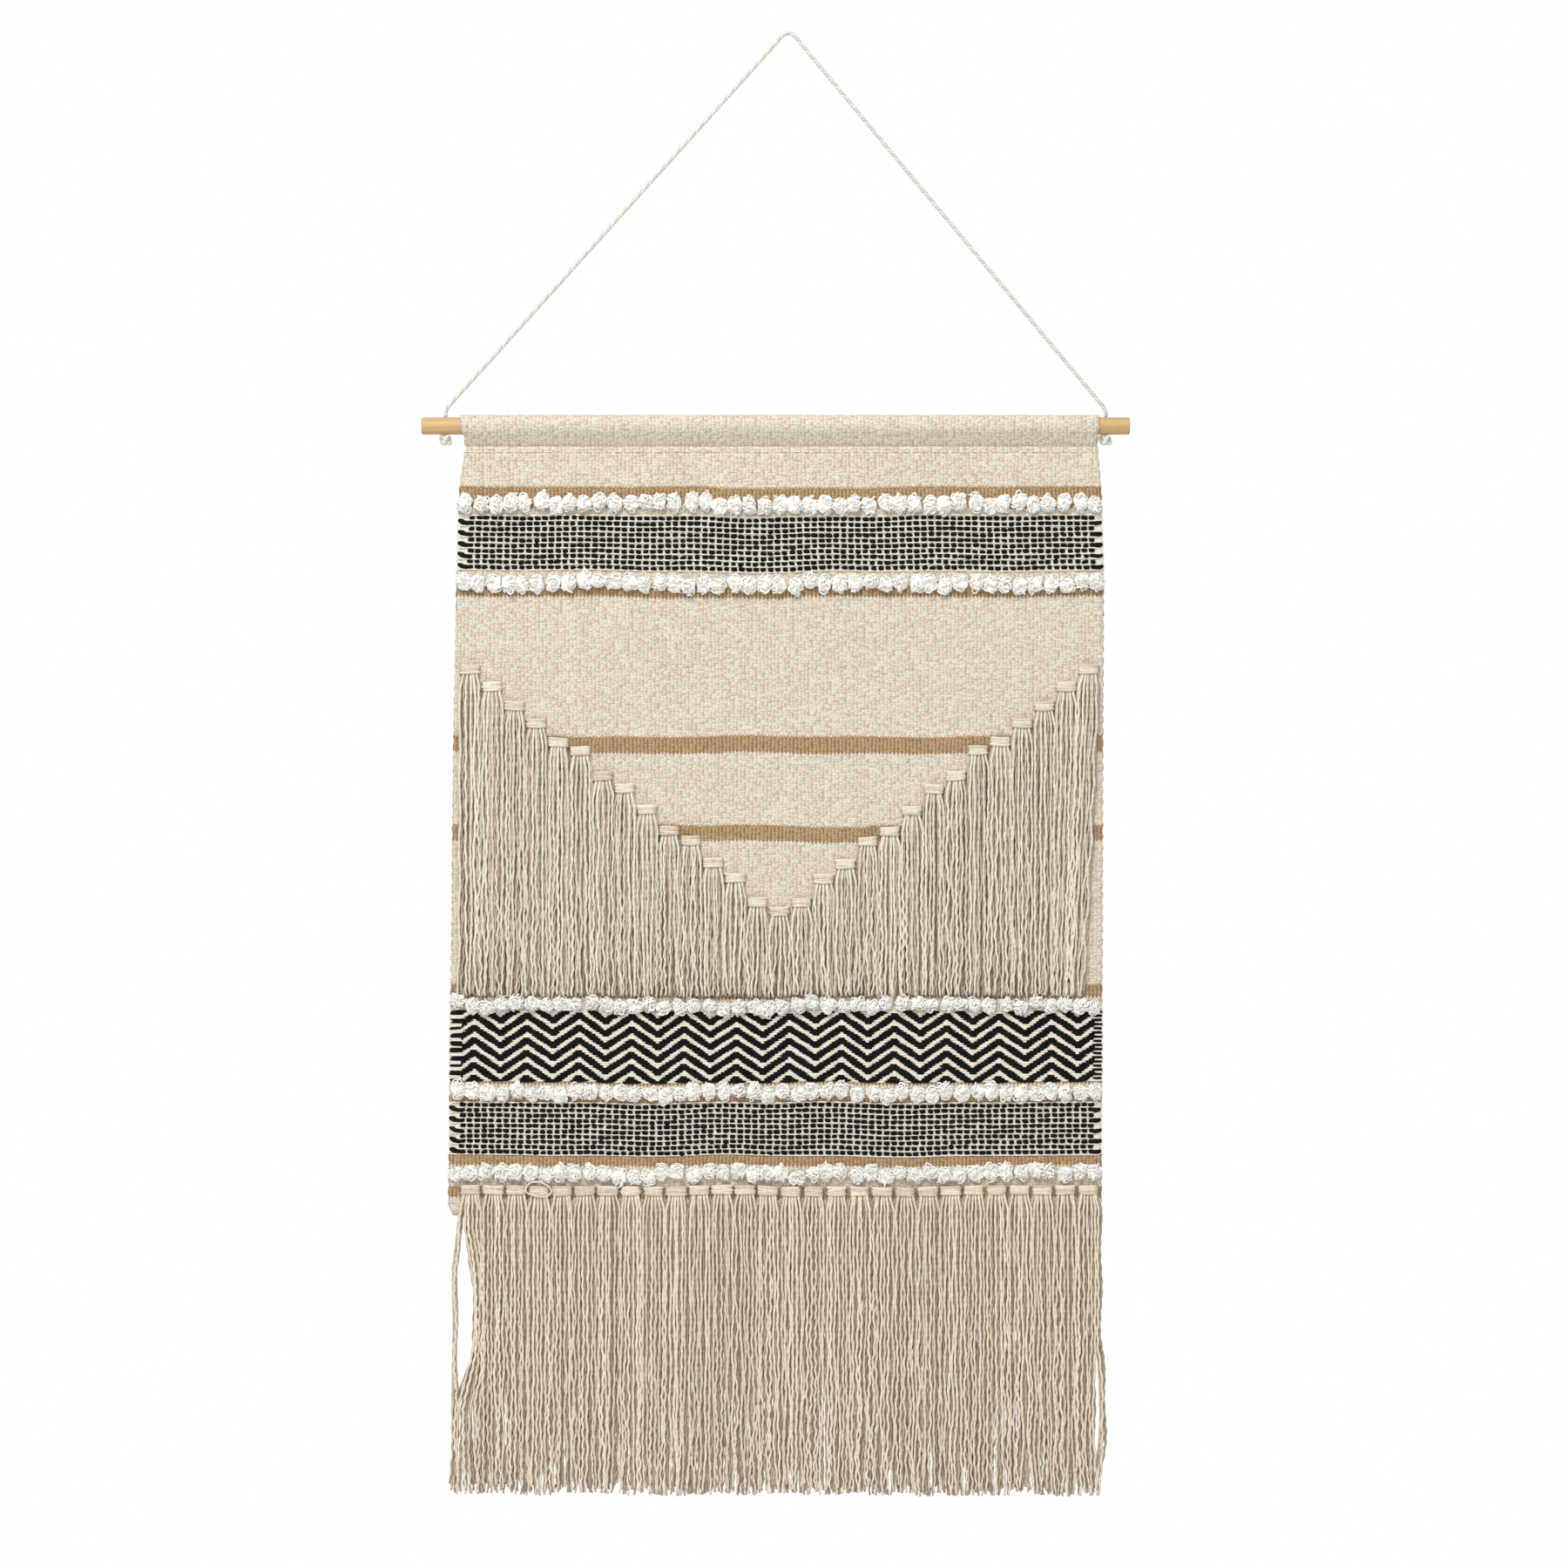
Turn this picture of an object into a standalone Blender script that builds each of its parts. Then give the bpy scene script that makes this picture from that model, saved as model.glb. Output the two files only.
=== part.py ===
"""Woven tapestry wall hanging: a wooden dowel on a cotton cord, a cloth panel on the
dowel, five rows of looped yarn, a V of long tassels and a fringe of tassels at the hem.

Units are metres, +Z is up, -Y is the front and +Y the wall. The origin is the hanging
point, where the underside of the cord rests on its nail.
"""

import math

import bmesh
import bpy
import numpy as np
from mathutils import Matrix, Vector

# Clearances
GAP = 0.0003
POCKET_PLAY = 0.0004
TASSEL_GAP = 0.0006

# Cloth: its width at the hem, and the bands from the dowel axis to each looped row and the hem
PANEL_WIDTH = 0.4802
TOP_BAND = 0.0566
UPPER_DOT_BAND = 0.0586
OPEN_FIELD = 0.3098
CHEVRON_BAND = 0.0640
LOWER_DOT_BAND = 0.0604
HEM_BAND = 0.0306
CLOTH = 0.0026
POCKET_CLOTH = 0.0016
CLOTH_SETBACK = 0.0010
SEAM_DROP = 0.0141
EDGE_DROPS = (-0.0090, 0.0141, 0.0450, 0.1000, 0.2300, 0.5800)
LEFT_DRAWN_IN = (0.0081, 0.0123, 0.0076, 0.0056, 0.0033, -0.0007)
RIGHT_DRAWN_IN = (0.0023, 0.0036, 0.0009, -0.0009, -0.0005, 0.0007)
PANEL_ROWS = 12
POCKET_STEPS = 28
STITCH_THICK = 0.0008

# Dowel, drilled from top to bottom near each end, outside the pocket
HOLE_MARGIN = 0.0048
ROD_END = 0.0175
ROD_RADIUS = 0.00635
ROD_CHAMFER = 0.0006
ROD_SIDES = 64
HOLE_RADIUS = 0.0020
HOLE_SIDES = 16

# Hanging cord: the nail is a little to the right of the dowel's middle
CORD_RADIUS = 0.0015
HANG_RISE = 0.287
NAIL_OFFSET = 0.0093
CORD_POINTS = 80
CORD_END_POINTS = 4
CORD_END_STEP = 0.0018
KNOT_RADIUS = 0.0045
KNOT_HEIGHT = 0.0077
STEM_RECESS = 0.0002

# Looped rows, from the top
LOOP_HEIGHTS = (0.0180, 0.0166, 0.0108, 0.0150, 0.0138)
LOOP_PROUD = 0.0050
LOOP_INSET = 0.0012
LOOP_SECTION = 6

# V of tassels: the outermost are the longest, and all end above the third looped row
V_COUNT = 29
V_MARGIN = 0.00477
V_CENTRE = 0.0026
V_LONGEST = 0.2418
V_SHORTEST = 0.0658
# How much lower the head of each tassel is worked than an even slope has it, from the middle outwards
V_UNEVEN = (
    0.0, 0.0058, 0.0004, 0.0022, -0.0012, 0.0045, 0.0016, -0.0019,
    0.0013, -0.0045, 0.0019, 0.0010, 0.0010, -0.0004, -0.0005,
)
V_CLEAR = 0.0018
HEAD_SIDE = 0.0014
HEAD_HEIGHT = 0.0062
HEAD_DEPTH = 0.0056
SKIRT_DEPTH = 0.0052
FLARE = 0.0220

# Hem tassels, made in pairs that share one head
HEM_PAIRS = 14
HEM_MARGIN = 0.0049
HEM_CENTRE = 0.0026
HEM_LENGTH = 0.2244
HEM_CLEAR = 0.0013
HEM_DEPTH = 0.0060

HOLE_SPACING = PANEL_WIDTH + HOLE_MARGIN
ROD_LENGTH = HOLE_SPACING + 2 * ROD_END
LOOP_DROPS = np.cumsum([TOP_BAND, UPPER_DOT_BAND, OPEN_FIELD, CHEVRON_BAND, LOWER_DOT_BAND])
PANEL_DROP = LOOP_DROPS[4] + HEM_BAND
V_PITCH = (PANEL_WIDTH - 2 * V_MARGIN) / V_COUNT
V_STEP = (V_LONGEST - V_SHORTEST) / ((V_COUNT - 1) / 2)
V_BOTTOM_DROP = LOOP_DROPS[2] - LOOP_HEIGHTS[2] / 2 - V_CLEAR
HEM_PITCH = (PANEL_WIDTH - 2 * HEM_MARGIN) / (2 * HEM_PAIRS)
HEM_TOP_DROP = LOOP_DROPS[4] + LOOP_HEIGHTS[4] / 2 + HEM_CLEAR
ROD_X = -NAIL_OFFSET
ROD_Z = -HANG_RISE
CLOTH_FRONT = CLOTH_SETBACK - CLOTH / 2
CLOTH_BACK = CLOTH_SETBACK + CLOTH / 2
TRIM_BACK = CLOTH_FRONT - GAP


def clear_scene():
    """Removes every object of the open scene."""
    for old in list(bpy.data.objects):
        bpy.data.objects.remove(old, do_unlink=True)


def material(name, colour, roughness):
    """A Principled material of one colour."""
    made = bpy.data.materials.new(name)
    made.use_nodes = True
    shader = made.node_tree.nodes["Principled BSDF"]
    shader.inputs["Base Color"].default_value = (*colour, 1.0)
    shader.inputs["Roughness"].default_value = roughness
    shader.inputs["Metallic"].default_value = 0.0
    return made


def place(name, mesh, look, origin):
    """Puts a mesh, whose points are measured from origin, in the scene as a named piece."""
    mesh.materials.append(look)
    piece = bpy.data.objects.new(name, mesh)
    piece.location = origin
    bpy.context.collection.objects.link(piece)
    return piece


def solid(name, points, faces, look, origin):
    """A closed piece from world points and faces, with its own origin at the given place."""
    form = bmesh.new()
    corners = [form.verts.new(Vector(point) - Vector(origin)) for point in points]
    for face in faces:
        form.faces.new([corners[i] for i in face])
    bmesh.ops.recalc_face_normals(form, faces=form.faces)
    mesh = bpy.data.meshes.new(name)
    form.to_mesh(mesh)
    form.free()
    return place(name, mesh, look, origin)


def prism_faces(rings, sides):
    """Faces of a stack of rings of points: side strips and an end cap at each end."""
    faces = [tuple(range(sides)), tuple(range((rings - 1) * sides, rings * sides))]
    for ring in range(rings - 1):
        for side in range(sides):
            following = (side + 1) % sides
            low = ring * sides
            faces.append((low + side, low + following, low + sides + following, low + sides + side))
    return faces


def edge_x(drop, side):
    """X of the cloth's left (-1) or right (+1) selvedge at a depth below the dowel axis."""
    drawn_in = RIGHT_DRAWN_IN if side > 0 else LEFT_DRAWN_IN
    return ROD_X + side * (PANEL_WIDTH / 2 - float(np.interp(drop, EDGE_DROPS, drawn_in)))


def rod_axis_point():
    """The middle of the dowel, on the axis that it and the panel turn about."""
    return Vector((ROD_X, 0.0, ROD_Z))


def make_dowel():
    """A chamfered round rod along X with a cord hole down through it near each end."""
    form = bmesh.new()
    bmesh.ops.create_cone(
        form, cap_ends=True, segments=ROD_SIDES, radius1=ROD_RADIUS, radius2=ROD_RADIUS, depth=ROD_LENGTH
    )
    lay_down = Matrix.Rotation(math.pi / 2, 3, "Y")
    bmesh.ops.rotate(form, verts=form.verts, cent=(0, 0, 0), matrix=lay_down)
    rims = [edge for edge in form.edges if any(len(face.verts) > 4 for face in edge.link_faces)]
    bmesh.ops.bevel(form, geom=rims, offset=ROD_CHAMFER, segments=1, affect="EDGES")
    mesh = bpy.data.meshes.new("dowel_rod")
    form.to_mesh(mesh)
    form.free()
    rod = place("dowel_rod", mesh, material("pale_wood", (0.71, 0.47, 0.22), 0.55), rod_axis_point())
    for side in (-1, 1):
        cut_hole(rod, side)
    return rod


def cut_hole(rod, side):
    """Drills the vertical cord hole on one side of the rod."""
    form = bmesh.new()
    bmesh.ops.create_cone(
        form,
        cap_ends=True,
        segments=HOLE_SIDES,
        radius1=HOLE_RADIUS,
        radius2=HOLE_RADIUS,
        depth=ROD_RADIUS * 4,
    )
    half_side = Matrix.Rotation(math.pi / HOLE_SIDES, 3, "Z")
    bmesh.ops.rotate(form, verts=form.verts, cent=(0, 0, 0), matrix=half_side)
    mesh = bpy.data.meshes.new("hole_cutter")
    form.to_mesh(mesh)
    form.free()
    cutter = bpy.data.objects.new("hole_cutter", mesh)
    cutter.location = rod_axis_point() + Vector((side * HOLE_SPACING / 2, 0, 0))
    cutter.hide_render = True
    cutter.display_type = "WIRE"
    bpy.context.collection.objects.link(cutter)
    cut = rod.modifiers.new("cord_hole", "BOOLEAN")
    cut.operation = "DIFFERENCE"
    cut.solver = "EXACT"
    cut.object = cutter


def cord_route():
    """The cord's centreline as chosen points, from the left hole over the nail to the right one."""
    return [
        (-0.25180, 0.0, -0.28035),
        (-0.25180, 0.0, -0.27830),
        (-0.25125, 0.0, -0.27500),
        (-0.24900, 0.0, -0.27190),
        (-0.22000, 0.0, -0.23972),
        (-0.16500, 0.0, -0.17867),
        (-0.11000, 0.0, -0.11762),
        (-0.05500, 0.0, -0.05658),
        (-0.01500, 0.0, -0.01218),
        (-0.00445, 0.0, -0.00047),
        (-0.00244, 0.0, 0.00098),
        (0.00000, 0.0, 0.00150),
        (0.00250, 0.0, 0.00095),
        (0.00461, 0.0, -0.00066),
        (0.01500, 0.0, -0.01314),
        (0.05500, 0.0, -0.06119),
        (0.10500, 0.0, -0.12126),
        (0.15500, 0.0, -0.18132),
        (0.20500, 0.0, -0.24139),
        (0.23040, 0.0, -0.27190),
        (0.23265, 0.0, -0.27500),
        (0.23320, 0.0, -0.27830),
        (0.23320, 0.0, -0.28035),
    ]


def smooth_line(points, count):
    """Points on the centripetal Catmull-Rom curve through the given ones, closer at both ends."""
    through = [Vector(point) for point in points]
    through = [through[0] * 2 - through[1]] + through + [through[-1] * 2 - through[-2]]
    fine = []
    for a, b, c, d in zip(through, through[1:], through[2:], through[3:]):
        knots = [0.0]
        for start, end in ((a, b), (b, c), (c, d)):
            knots.append(knots[-1] + math.sqrt((end - start).length))
        for step in range(24):
            t = knots[1] + (knots[2] - knots[1]) * step / 24
            fine.append(catmull_point((a, b, c, d), knots, t))
    fine.append(through[-2])
    line = np.array(fine)
    run = np.concatenate([[0.0], np.cumsum(np.linalg.norm(np.diff(line, axis=0), axis=1))])
    close = np.arange(CORD_END_POINTS) * CORD_END_STEP
    reach = CORD_END_POINTS * CORD_END_STEP
    even = np.linspace(reach, run[-1] - reach, count - 2 * CORD_END_POINTS)
    along = np.concatenate([close, even, run[-1] - close[::-1]])
    return np.stack([np.interp(along, run, line[:, axis]) for axis in range(3)], axis=1)


def catmull_point(four, knots, t):
    """The point at t by repeated straight blends between four points at their knot values."""
    level = list(four)
    spread = 1
    while len(level) > 1:
        blended = []
        for i in range(len(level) - 1):
            first = knots[i] if spread < 3 else knots[1]
            last = knots[i + spread] if spread < 3 else knots[2]
            share = (t - first) / (last - first)
            blended.append(level[i].lerp(level[i + 1], share))
        level = blended
        spread += 1
    return level[0]


def make_cord():
    """The hanging cord, a round tube from hole to hole."""
    line = smooth_line(cord_route(), CORD_POINTS)
    curve = bpy.data.curves.new("hanging_cord", "CURVE")
    curve.dimensions = "3D"
    curve.bevel_depth = CORD_RADIUS
    curve.bevel_resolution = 2
    curve.use_fill_caps = True
    spline = curve.splines.new("POLY")
    spline.points.add(len(line) - 1)
    for point, place_at in zip(spline.points, line):
        point.co = (*place_at, 1.0)
    curve.materials.append(material("cotton_cord", (0.79, 0.75, 0.69), 0.9))
    cord = bpy.data.objects.new("hanging_cord", curve)
    bpy.context.collection.objects.link(cord)
    return cord


def knot_profile():
    """Radius and height of the turned knot: a ball under the dowel and a stem up its hole."""
    top = -ROD_RADIUS - GAP
    middle = top - KNOT_HEIGHT / 2
    steps = 9
    profile = [(0.0, middle - KNOT_HEIGHT / 2)]
    for step in range(1, steps):
        angle = math.pi * step / steps
        profile.append((KNOT_RADIUS * math.sin(angle), middle - KNOT_HEIGHT / 2 * math.cos(angle)))
    profile.append((CORD_RADIUS, top))
    profile.append((CORD_RADIUS, ROD_RADIUS - STEM_RECESS))
    profile.append((0.0, ROD_RADIUS - STEM_RECESS))
    return profile


def make_knot(name, side):
    """One stopper knot with the end of cord that fills the hole above it."""
    form = bmesh.new()
    line = [form.verts.new((radius, 0.0, height)) for radius, height in knot_profile()]
    edges = [form.edges.new(pair) for pair in zip(line, line[1:])]
    bmesh.ops.spin(
        form, geom=line + edges, cent=(0, 0, 0), axis=(0, 0, 1), angle=2 * math.pi, steps=14, use_merge=True
    )
    bmesh.ops.remove_doubles(form, verts=form.verts, dist=1e-6)
    bmesh.ops.recalc_face_normals(form, faces=form.faces)
    mesh = bpy.data.meshes.new(name)
    form.to_mesh(mesh)
    form.free()
    where = rod_axis_point() + Vector((side * HOLE_SPACING / 2, 0, 0))
    return place(name, mesh, material(name + "_cotton", (0.79, 0.75, 0.69), 0.9), where)


def tangent_angle(radius, point):
    """Angle from straight down at which a line from a point below a circle touches the circle."""
    return math.acos(radius / point.length)


def pocket_chain(radius, tip_front, tip_back):
    """Points (y, z) from the front tip around over the dowel to the back tip, z from the axis."""
    lean_front = math.atan2(-tip_front.x, -tip_front.y) + tangent_angle(radius, tip_front)
    lean_back = math.atan2(tip_back.x, -tip_back.y) + tangent_angle(radius, tip_back)
    angles = np.linspace(lean_front, 2 * math.pi - lean_back, POCKET_STEPS)
    arc = [(-radius * math.sin(angle), -radius * math.cos(angle)) for angle in angles]
    return [tuple(tip_front)] + arc + [tuple(tip_back)]


def make_panel():
    """The cloth: a flat hanging sheet whose top edge is folded into a pocket around the dowel."""
    drops = np.linspace(PANEL_DROP, SEAM_DROP + POCKET_CLOTH, PANEL_ROWS + 1)
    front = [(CLOTH_FRONT, -drop) for drop in drops]
    back = [(CLOTH_BACK, -drop) for drop in drops]
    outer_radius = ROD_RADIUS + POCKET_PLAY + POCKET_CLOTH
    outer = pocket_chain(outer_radius, Vector(front[-1]), Vector(back[-1]))
    tip = Vector((CLOTH_SETBACK, -SEAM_DROP + POCKET_CLOTH))
    inner = pocket_chain(ROD_RADIUS + POCKET_PLAY, tip, tip)[:-1]
    section = front + outer[1:-1] + back[::-1] + inner
    count = len(section)
    loop = len(front) + len(outer) - 2 + len(back)
    points = []
    for side in (-1, 1):
        for y, z in section:
            points.append((edge_x(-z, side), y, ROD_Z + z))
    faces = []
    for i in range(loop):
        following = (i + 1) % loop
        faces.append((i, following, count + following, count + i))
    for i in range(loop, count):
        following = i + 1 if i + 1 < count else loop
        faces.append((i, following, count + following, count + i))
    for shift in (0, count):
        faces += panel_end_faces(len(front), len(outer), loop, count, shift)
    cotton = material("handwoven_cotton", (0.76, 0.68, 0.54), 0.92)
    return solid("woven_panel", points, faces, cotton, rod_axis_point())


def panel_end_faces(rows, outer_count, loop, count, shift):
    """Faces that close one side of the panel, around the pocket's opening."""
    faces = []
    for i in range(rows - 1):
        faces.append((i, i + 1, loop - 2 - i, loop - 1 - i))
    around = list(range(rows - 1, rows - 1 + outer_count))
    within = list(range(loop, count)) + [loop]
    for a, b, c, d in zip(around, around[1:], within[1:], within):
        faces.append(tuple(dict.fromkeys((a, b, c, d))))
    faces.append((around[0], around[-1], loop))
    return [tuple(index + shift for index in face) for face in faces]


def make_stitching():
    """The sewing thread along the foot of the rod pocket, on the front of the cloth."""
    drop = SEAM_DROP + 3 * POCKET_CLOTH
    points = []
    for side in (-1, 1):
        x = edge_x(drop, side) - side * LOOP_INSET
        for step in range(6):
            angle = math.pi * step / 3
            y = TRIM_BACK - STITCH_THICK / 2 * (1 + math.cos(angle))
            points.append((x, y, ROD_Z - drop + STITCH_THICK / 2 * math.sin(angle)))
    look = material("sewing_thread", (0.76, 0.68, 0.54), 0.8)
    return solid("pocket_stitching", points, prism_faces(2, 6), look, rod_axis_point())


def make_loop_row(number, drop, height):
    """One row of looped yarn: a bar as wide as the cloth with a rounded front."""
    points = []
    for side in (-1, 1):
        x = edge_x(drop, side) - side * LOOP_INSET
        for step in range(LOOP_SECTION + 1):
            angle = math.pi * step / LOOP_SECTION
            y = TRIM_BACK - LOOP_PROUD * math.sin(angle)
            z = ROD_Z - drop + height / 2 * math.cos(angle)
            points.append((x, y, z))
    name = "loop_row_%d" % number
    look = material(name + "_white_yarn", (0.9, 0.88, 0.83), 0.95)
    return solid(name, points, prism_faces(2, LOOP_SECTION + 1), look, rod_axis_point())


def tassel_section(width, depth):
    """Eight corners (x, y) of a flat bundle: straight at the back, rounded in front."""
    half = width / 2
    return [
        (-half, TRIM_BACK - depth * 0.15),
        (-half * 0.8, TRIM_BACK),
        (half * 0.8, TRIM_BACK),
        (half, TRIM_BACK - depth * 0.15),
        (half, TRIM_BACK - depth * 0.7),
        (half * 0.6, TRIM_BACK - depth),
        (-half * 0.6, TRIM_BACK - depth),
        (-half, TRIM_BACK - depth * 0.7),
    ]


def make_v_tassel(number):
    """One tassel of the V: a knotted head and a skirt of strands, turning at the head's top front edge."""
    place_in_row = number - (V_COUNT + 1) / 2
    x = ROD_X + V_CENTRE + place_in_row * V_PITCH
    uneven = V_UNEVEN[int(abs(place_in_row)) % len(V_UNEVEN)]
    top = V_BOTTOM_DROP - V_SHORTEST - abs(place_in_row) * V_STEP + uneven
    skirt = V_PITCH - TASSEL_GAP
    head = V_PITCH - 2 * HEAD_SIDE
    levels = (
        (top, head, HEAD_DEPTH),
        (top + HEAD_HEIGHT, head, HEAD_DEPTH),
        (top + HEAD_HEIGHT + FLARE, skirt, SKIRT_DEPTH),
        (V_BOTTOM_DROP, skirt, SKIRT_DEPTH),
    )
    points = []
    for drop, width, depth in levels:
        for across, y in tassel_section(width, depth):
            points.append((x + across, y, ROD_Z - drop))
    name = "v_tassel_%02d" % number
    look = material(name + "_yarn", (0.67, 0.6, 0.51), 0.92)
    origin = Vector((x, TRIM_BACK - HEAD_DEPTH, ROD_Z - top))
    return solid(name, points, prism_faces(len(levels), 8), look, origin)


def make_hem_tassel(number):
    """Two hem tassels that share one head: a slab with a slit up its middle."""
    x = ROD_X + HEM_CENTRE + (number - (HEM_PAIRS + 1) / 2) * 2 * HEM_PITCH
    half = HEM_PITCH - TASSEL_GAP / 2
    head = half - HEAD_SIDE
    slit = TASSEL_GAP / 2
    top = HEM_TOP_DROP
    low = top + HEM_LENGTH
    shoulder = top + HEAD_HEIGHT
    flared = shoulder + FLARE
    outline = [
        (-head, top), (head, top), (head, shoulder), (half, flared), (half, low),
        (slit, low), (slit, flared), (0.0, shoulder + HEAD_HEIGHT), (-slit, flared), (-slit, low),
        (-half, low), (-half, flared), (-head, shoulder),
    ]
    points = []
    for y in (TRIM_BACK, TRIM_BACK - HEM_DEPTH):
        for across, drop in outline:
            points.append((x + across, y, ROD_Z - drop))
    name = "hem_tassel_%02d" % number
    look = material(name + "_yarn", (0.62, 0.53, 0.41), 0.92)
    origin = Vector((x, TRIM_BACK - HEM_DEPTH, ROD_Z - top))
    return solid(name, points, prism_faces(2, len(outline)), look, origin)


def main():
    clear_scene()
    make_dowel()
    make_cord()
    make_knot("cord_knot_left", -1)
    make_knot("cord_knot_right", 1)
    make_panel()
    make_stitching()
    for number, (drop, height) in enumerate(zip(LOOP_DROPS, LOOP_HEIGHTS), start=1):
        make_loop_row(number, drop, height)
    for number in range(1, V_COUNT + 1):
        make_v_tassel(number)
    for number in range(1, HEM_PAIRS + 1):
        make_hem_tassel(number)


main()
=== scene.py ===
"""Handwoven wall hanging: cloth, looped rows, black bands, tassels, cord and dowel, as a
Blender add-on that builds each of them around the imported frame. Units are metres, +Z is up
and -Y is the front. A drop is a depth below the dowel's axis."""

import math
import typing

import bpy
import numpy as np
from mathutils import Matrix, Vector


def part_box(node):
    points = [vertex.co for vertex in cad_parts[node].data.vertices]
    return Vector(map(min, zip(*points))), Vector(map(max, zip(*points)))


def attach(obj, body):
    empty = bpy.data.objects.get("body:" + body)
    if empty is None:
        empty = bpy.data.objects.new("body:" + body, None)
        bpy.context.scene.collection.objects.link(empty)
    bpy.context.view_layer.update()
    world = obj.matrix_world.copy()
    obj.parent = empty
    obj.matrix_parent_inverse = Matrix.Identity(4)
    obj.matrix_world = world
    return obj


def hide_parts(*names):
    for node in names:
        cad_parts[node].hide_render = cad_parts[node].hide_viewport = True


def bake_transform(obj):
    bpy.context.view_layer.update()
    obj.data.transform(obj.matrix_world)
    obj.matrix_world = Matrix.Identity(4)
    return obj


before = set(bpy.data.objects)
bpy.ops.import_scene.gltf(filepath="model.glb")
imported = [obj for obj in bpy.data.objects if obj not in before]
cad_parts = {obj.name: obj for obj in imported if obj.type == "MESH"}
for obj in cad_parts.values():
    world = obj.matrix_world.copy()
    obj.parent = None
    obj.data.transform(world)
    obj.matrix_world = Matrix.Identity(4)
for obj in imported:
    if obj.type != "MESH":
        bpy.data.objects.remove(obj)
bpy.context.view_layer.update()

bl_info = {
    "name": "Handwoven wall hanging",
    "version": (1, 0, 0),
    "blender": (4, 5, 0),
    "location": "View3D > Sidebar > Hanging",
    "description": "Builds the cloth, yarn work, tassels, cord and dowel of a wall hanging",
    "category": "Add Mesh",
}

# Places taken from the frame
ROD_LOW, ROD_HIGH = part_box("dowel_rod")
ROD_X = (ROD_LOW.x + ROD_HIGH.x) / 2
ROD_Z = (ROD_LOW.z + ROD_HIGH.z) / 2
ROD_RADIUS = (ROD_HIGH.z - ROD_LOW.z) / 2
PANEL_LOW, PANEL_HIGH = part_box("woven_panel")
PANEL_DROP = ROD_Z - PANEL_LOW.z
ROW_COUNT = 5
TRIM_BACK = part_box("loop_row_1")[1].y
CLOTH_FRONT = TRIM_BACK + 0.0003
V_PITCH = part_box("v_tassel_02")[0].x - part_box("v_tassel_01")[0].x
V_NAMES = ["v_tassel_%02d" % number for number in range(1, 30)]
HEM_NAMES = ["hem_tassel_%02d" % number for number in range(1, 15)]

# How far each selvedge is drawn in from half the cloth's width, at depths below the dowel
HALF_WIDTH = 0.2401
EDGE_DROPS = (-0.0090, 0.0141, 0.0450, 0.1000, 0.2300, 0.5800)
LEFT_DRAWN_IN = (0.0081, 0.0123, 0.0076, 0.0056, 0.0033, -0.0007)
RIGHT_DRAWN_IN = (0.0023, 0.0036, 0.0009, -0.0009, -0.0005, 0.0007)
TURN = 2 * math.pi

# Half the height of the pinched line that the pocket's seam makes
SEAM_HALF = 0.0016

# Small scallops of the selvedges, and how far and over what depth they round in at the hem
SCALLOP = 0.00045
SCALLOP_PITCH = 0.0086
CORNER = 0.0040
CORNER_DEPTH = 0.010

# Slow waves of the hanging cloth: height, turns across the width, turns per metre down, phase
MEAN_SAG = 0.0011
SAG_WAVES = ((0.0007, 2.1, 3.3, 0), (0.0005, 5.3, -2.7, 0))
BILLOW_WAVES = ((0.0005, 1.6, 2.2, 0), (0.0003, 4.2, -5.1, 1))

# Twill of the chevrons: warps from peak to foot, picks climbed on the way, picks after which it
# repeats, how many of those are black, the first peak, and warps of plain bars at each selvedge
HALF_CHEVRON = 7
CLIMB = 8.6
TWILL = 6
BLACK_PICKS = 3.42
FIRST_PEAK = 6.5
LEFT_BARS = 3.2
RIGHT_BARS = 2.2

# Wraps of a tassel's head: how many, how far apart, and how far they bow out from the cloth
WRAPS = 4
WRAP_PITCH = 0.00155
HEAD_BOW = 0.0034
V_HEAD_WIDTH = 0.0134
HEM_HEAD_WIDTHS = (0.0126, 0.0146)

# How far below the top of the head the strands start, how much narrower than the head their
# middles lie in it, the length of one step of a strand, and the gap between two hem tassels
STRAND_START = 0.0030
IN_HEAD = 0.84
STRAND_STEP = 0.0028
HEM_GAP = 0.0006

# Running stitches of the seam: how many, half of one, their depth below the seam, their thread
STITCHES = 64
HALF_STITCH = 0.0052
STITCH_DROP = 0.0048
THREAD_RADIUS = 0.00036

CORD_RADIUS = 0.0015
CORD_PLIES = 3

# Linear grey that the floor's roller texture mixes in a little where it rises, the floor's depth, and what
# the camera takes in at its distance
FLOOR_LOW = (0.6, 0.6, 0.6)
FLOOR_Z = -1.42
FLOOR_RADIUS = 1.95
CAMERA_DISTANCE = 4.0
VIEW_WIDTH = 1.152
SENSOR = 36.0


def row_drop(number):
    """Depth of the middle of a looped row."""
    low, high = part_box("loop_row_%d" % number)
    return ROD_Z - (low.z + high.z) / 2


ROW_DROPS = [row_drop(number) for number in range(1, ROW_COUNT + 1)]
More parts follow.
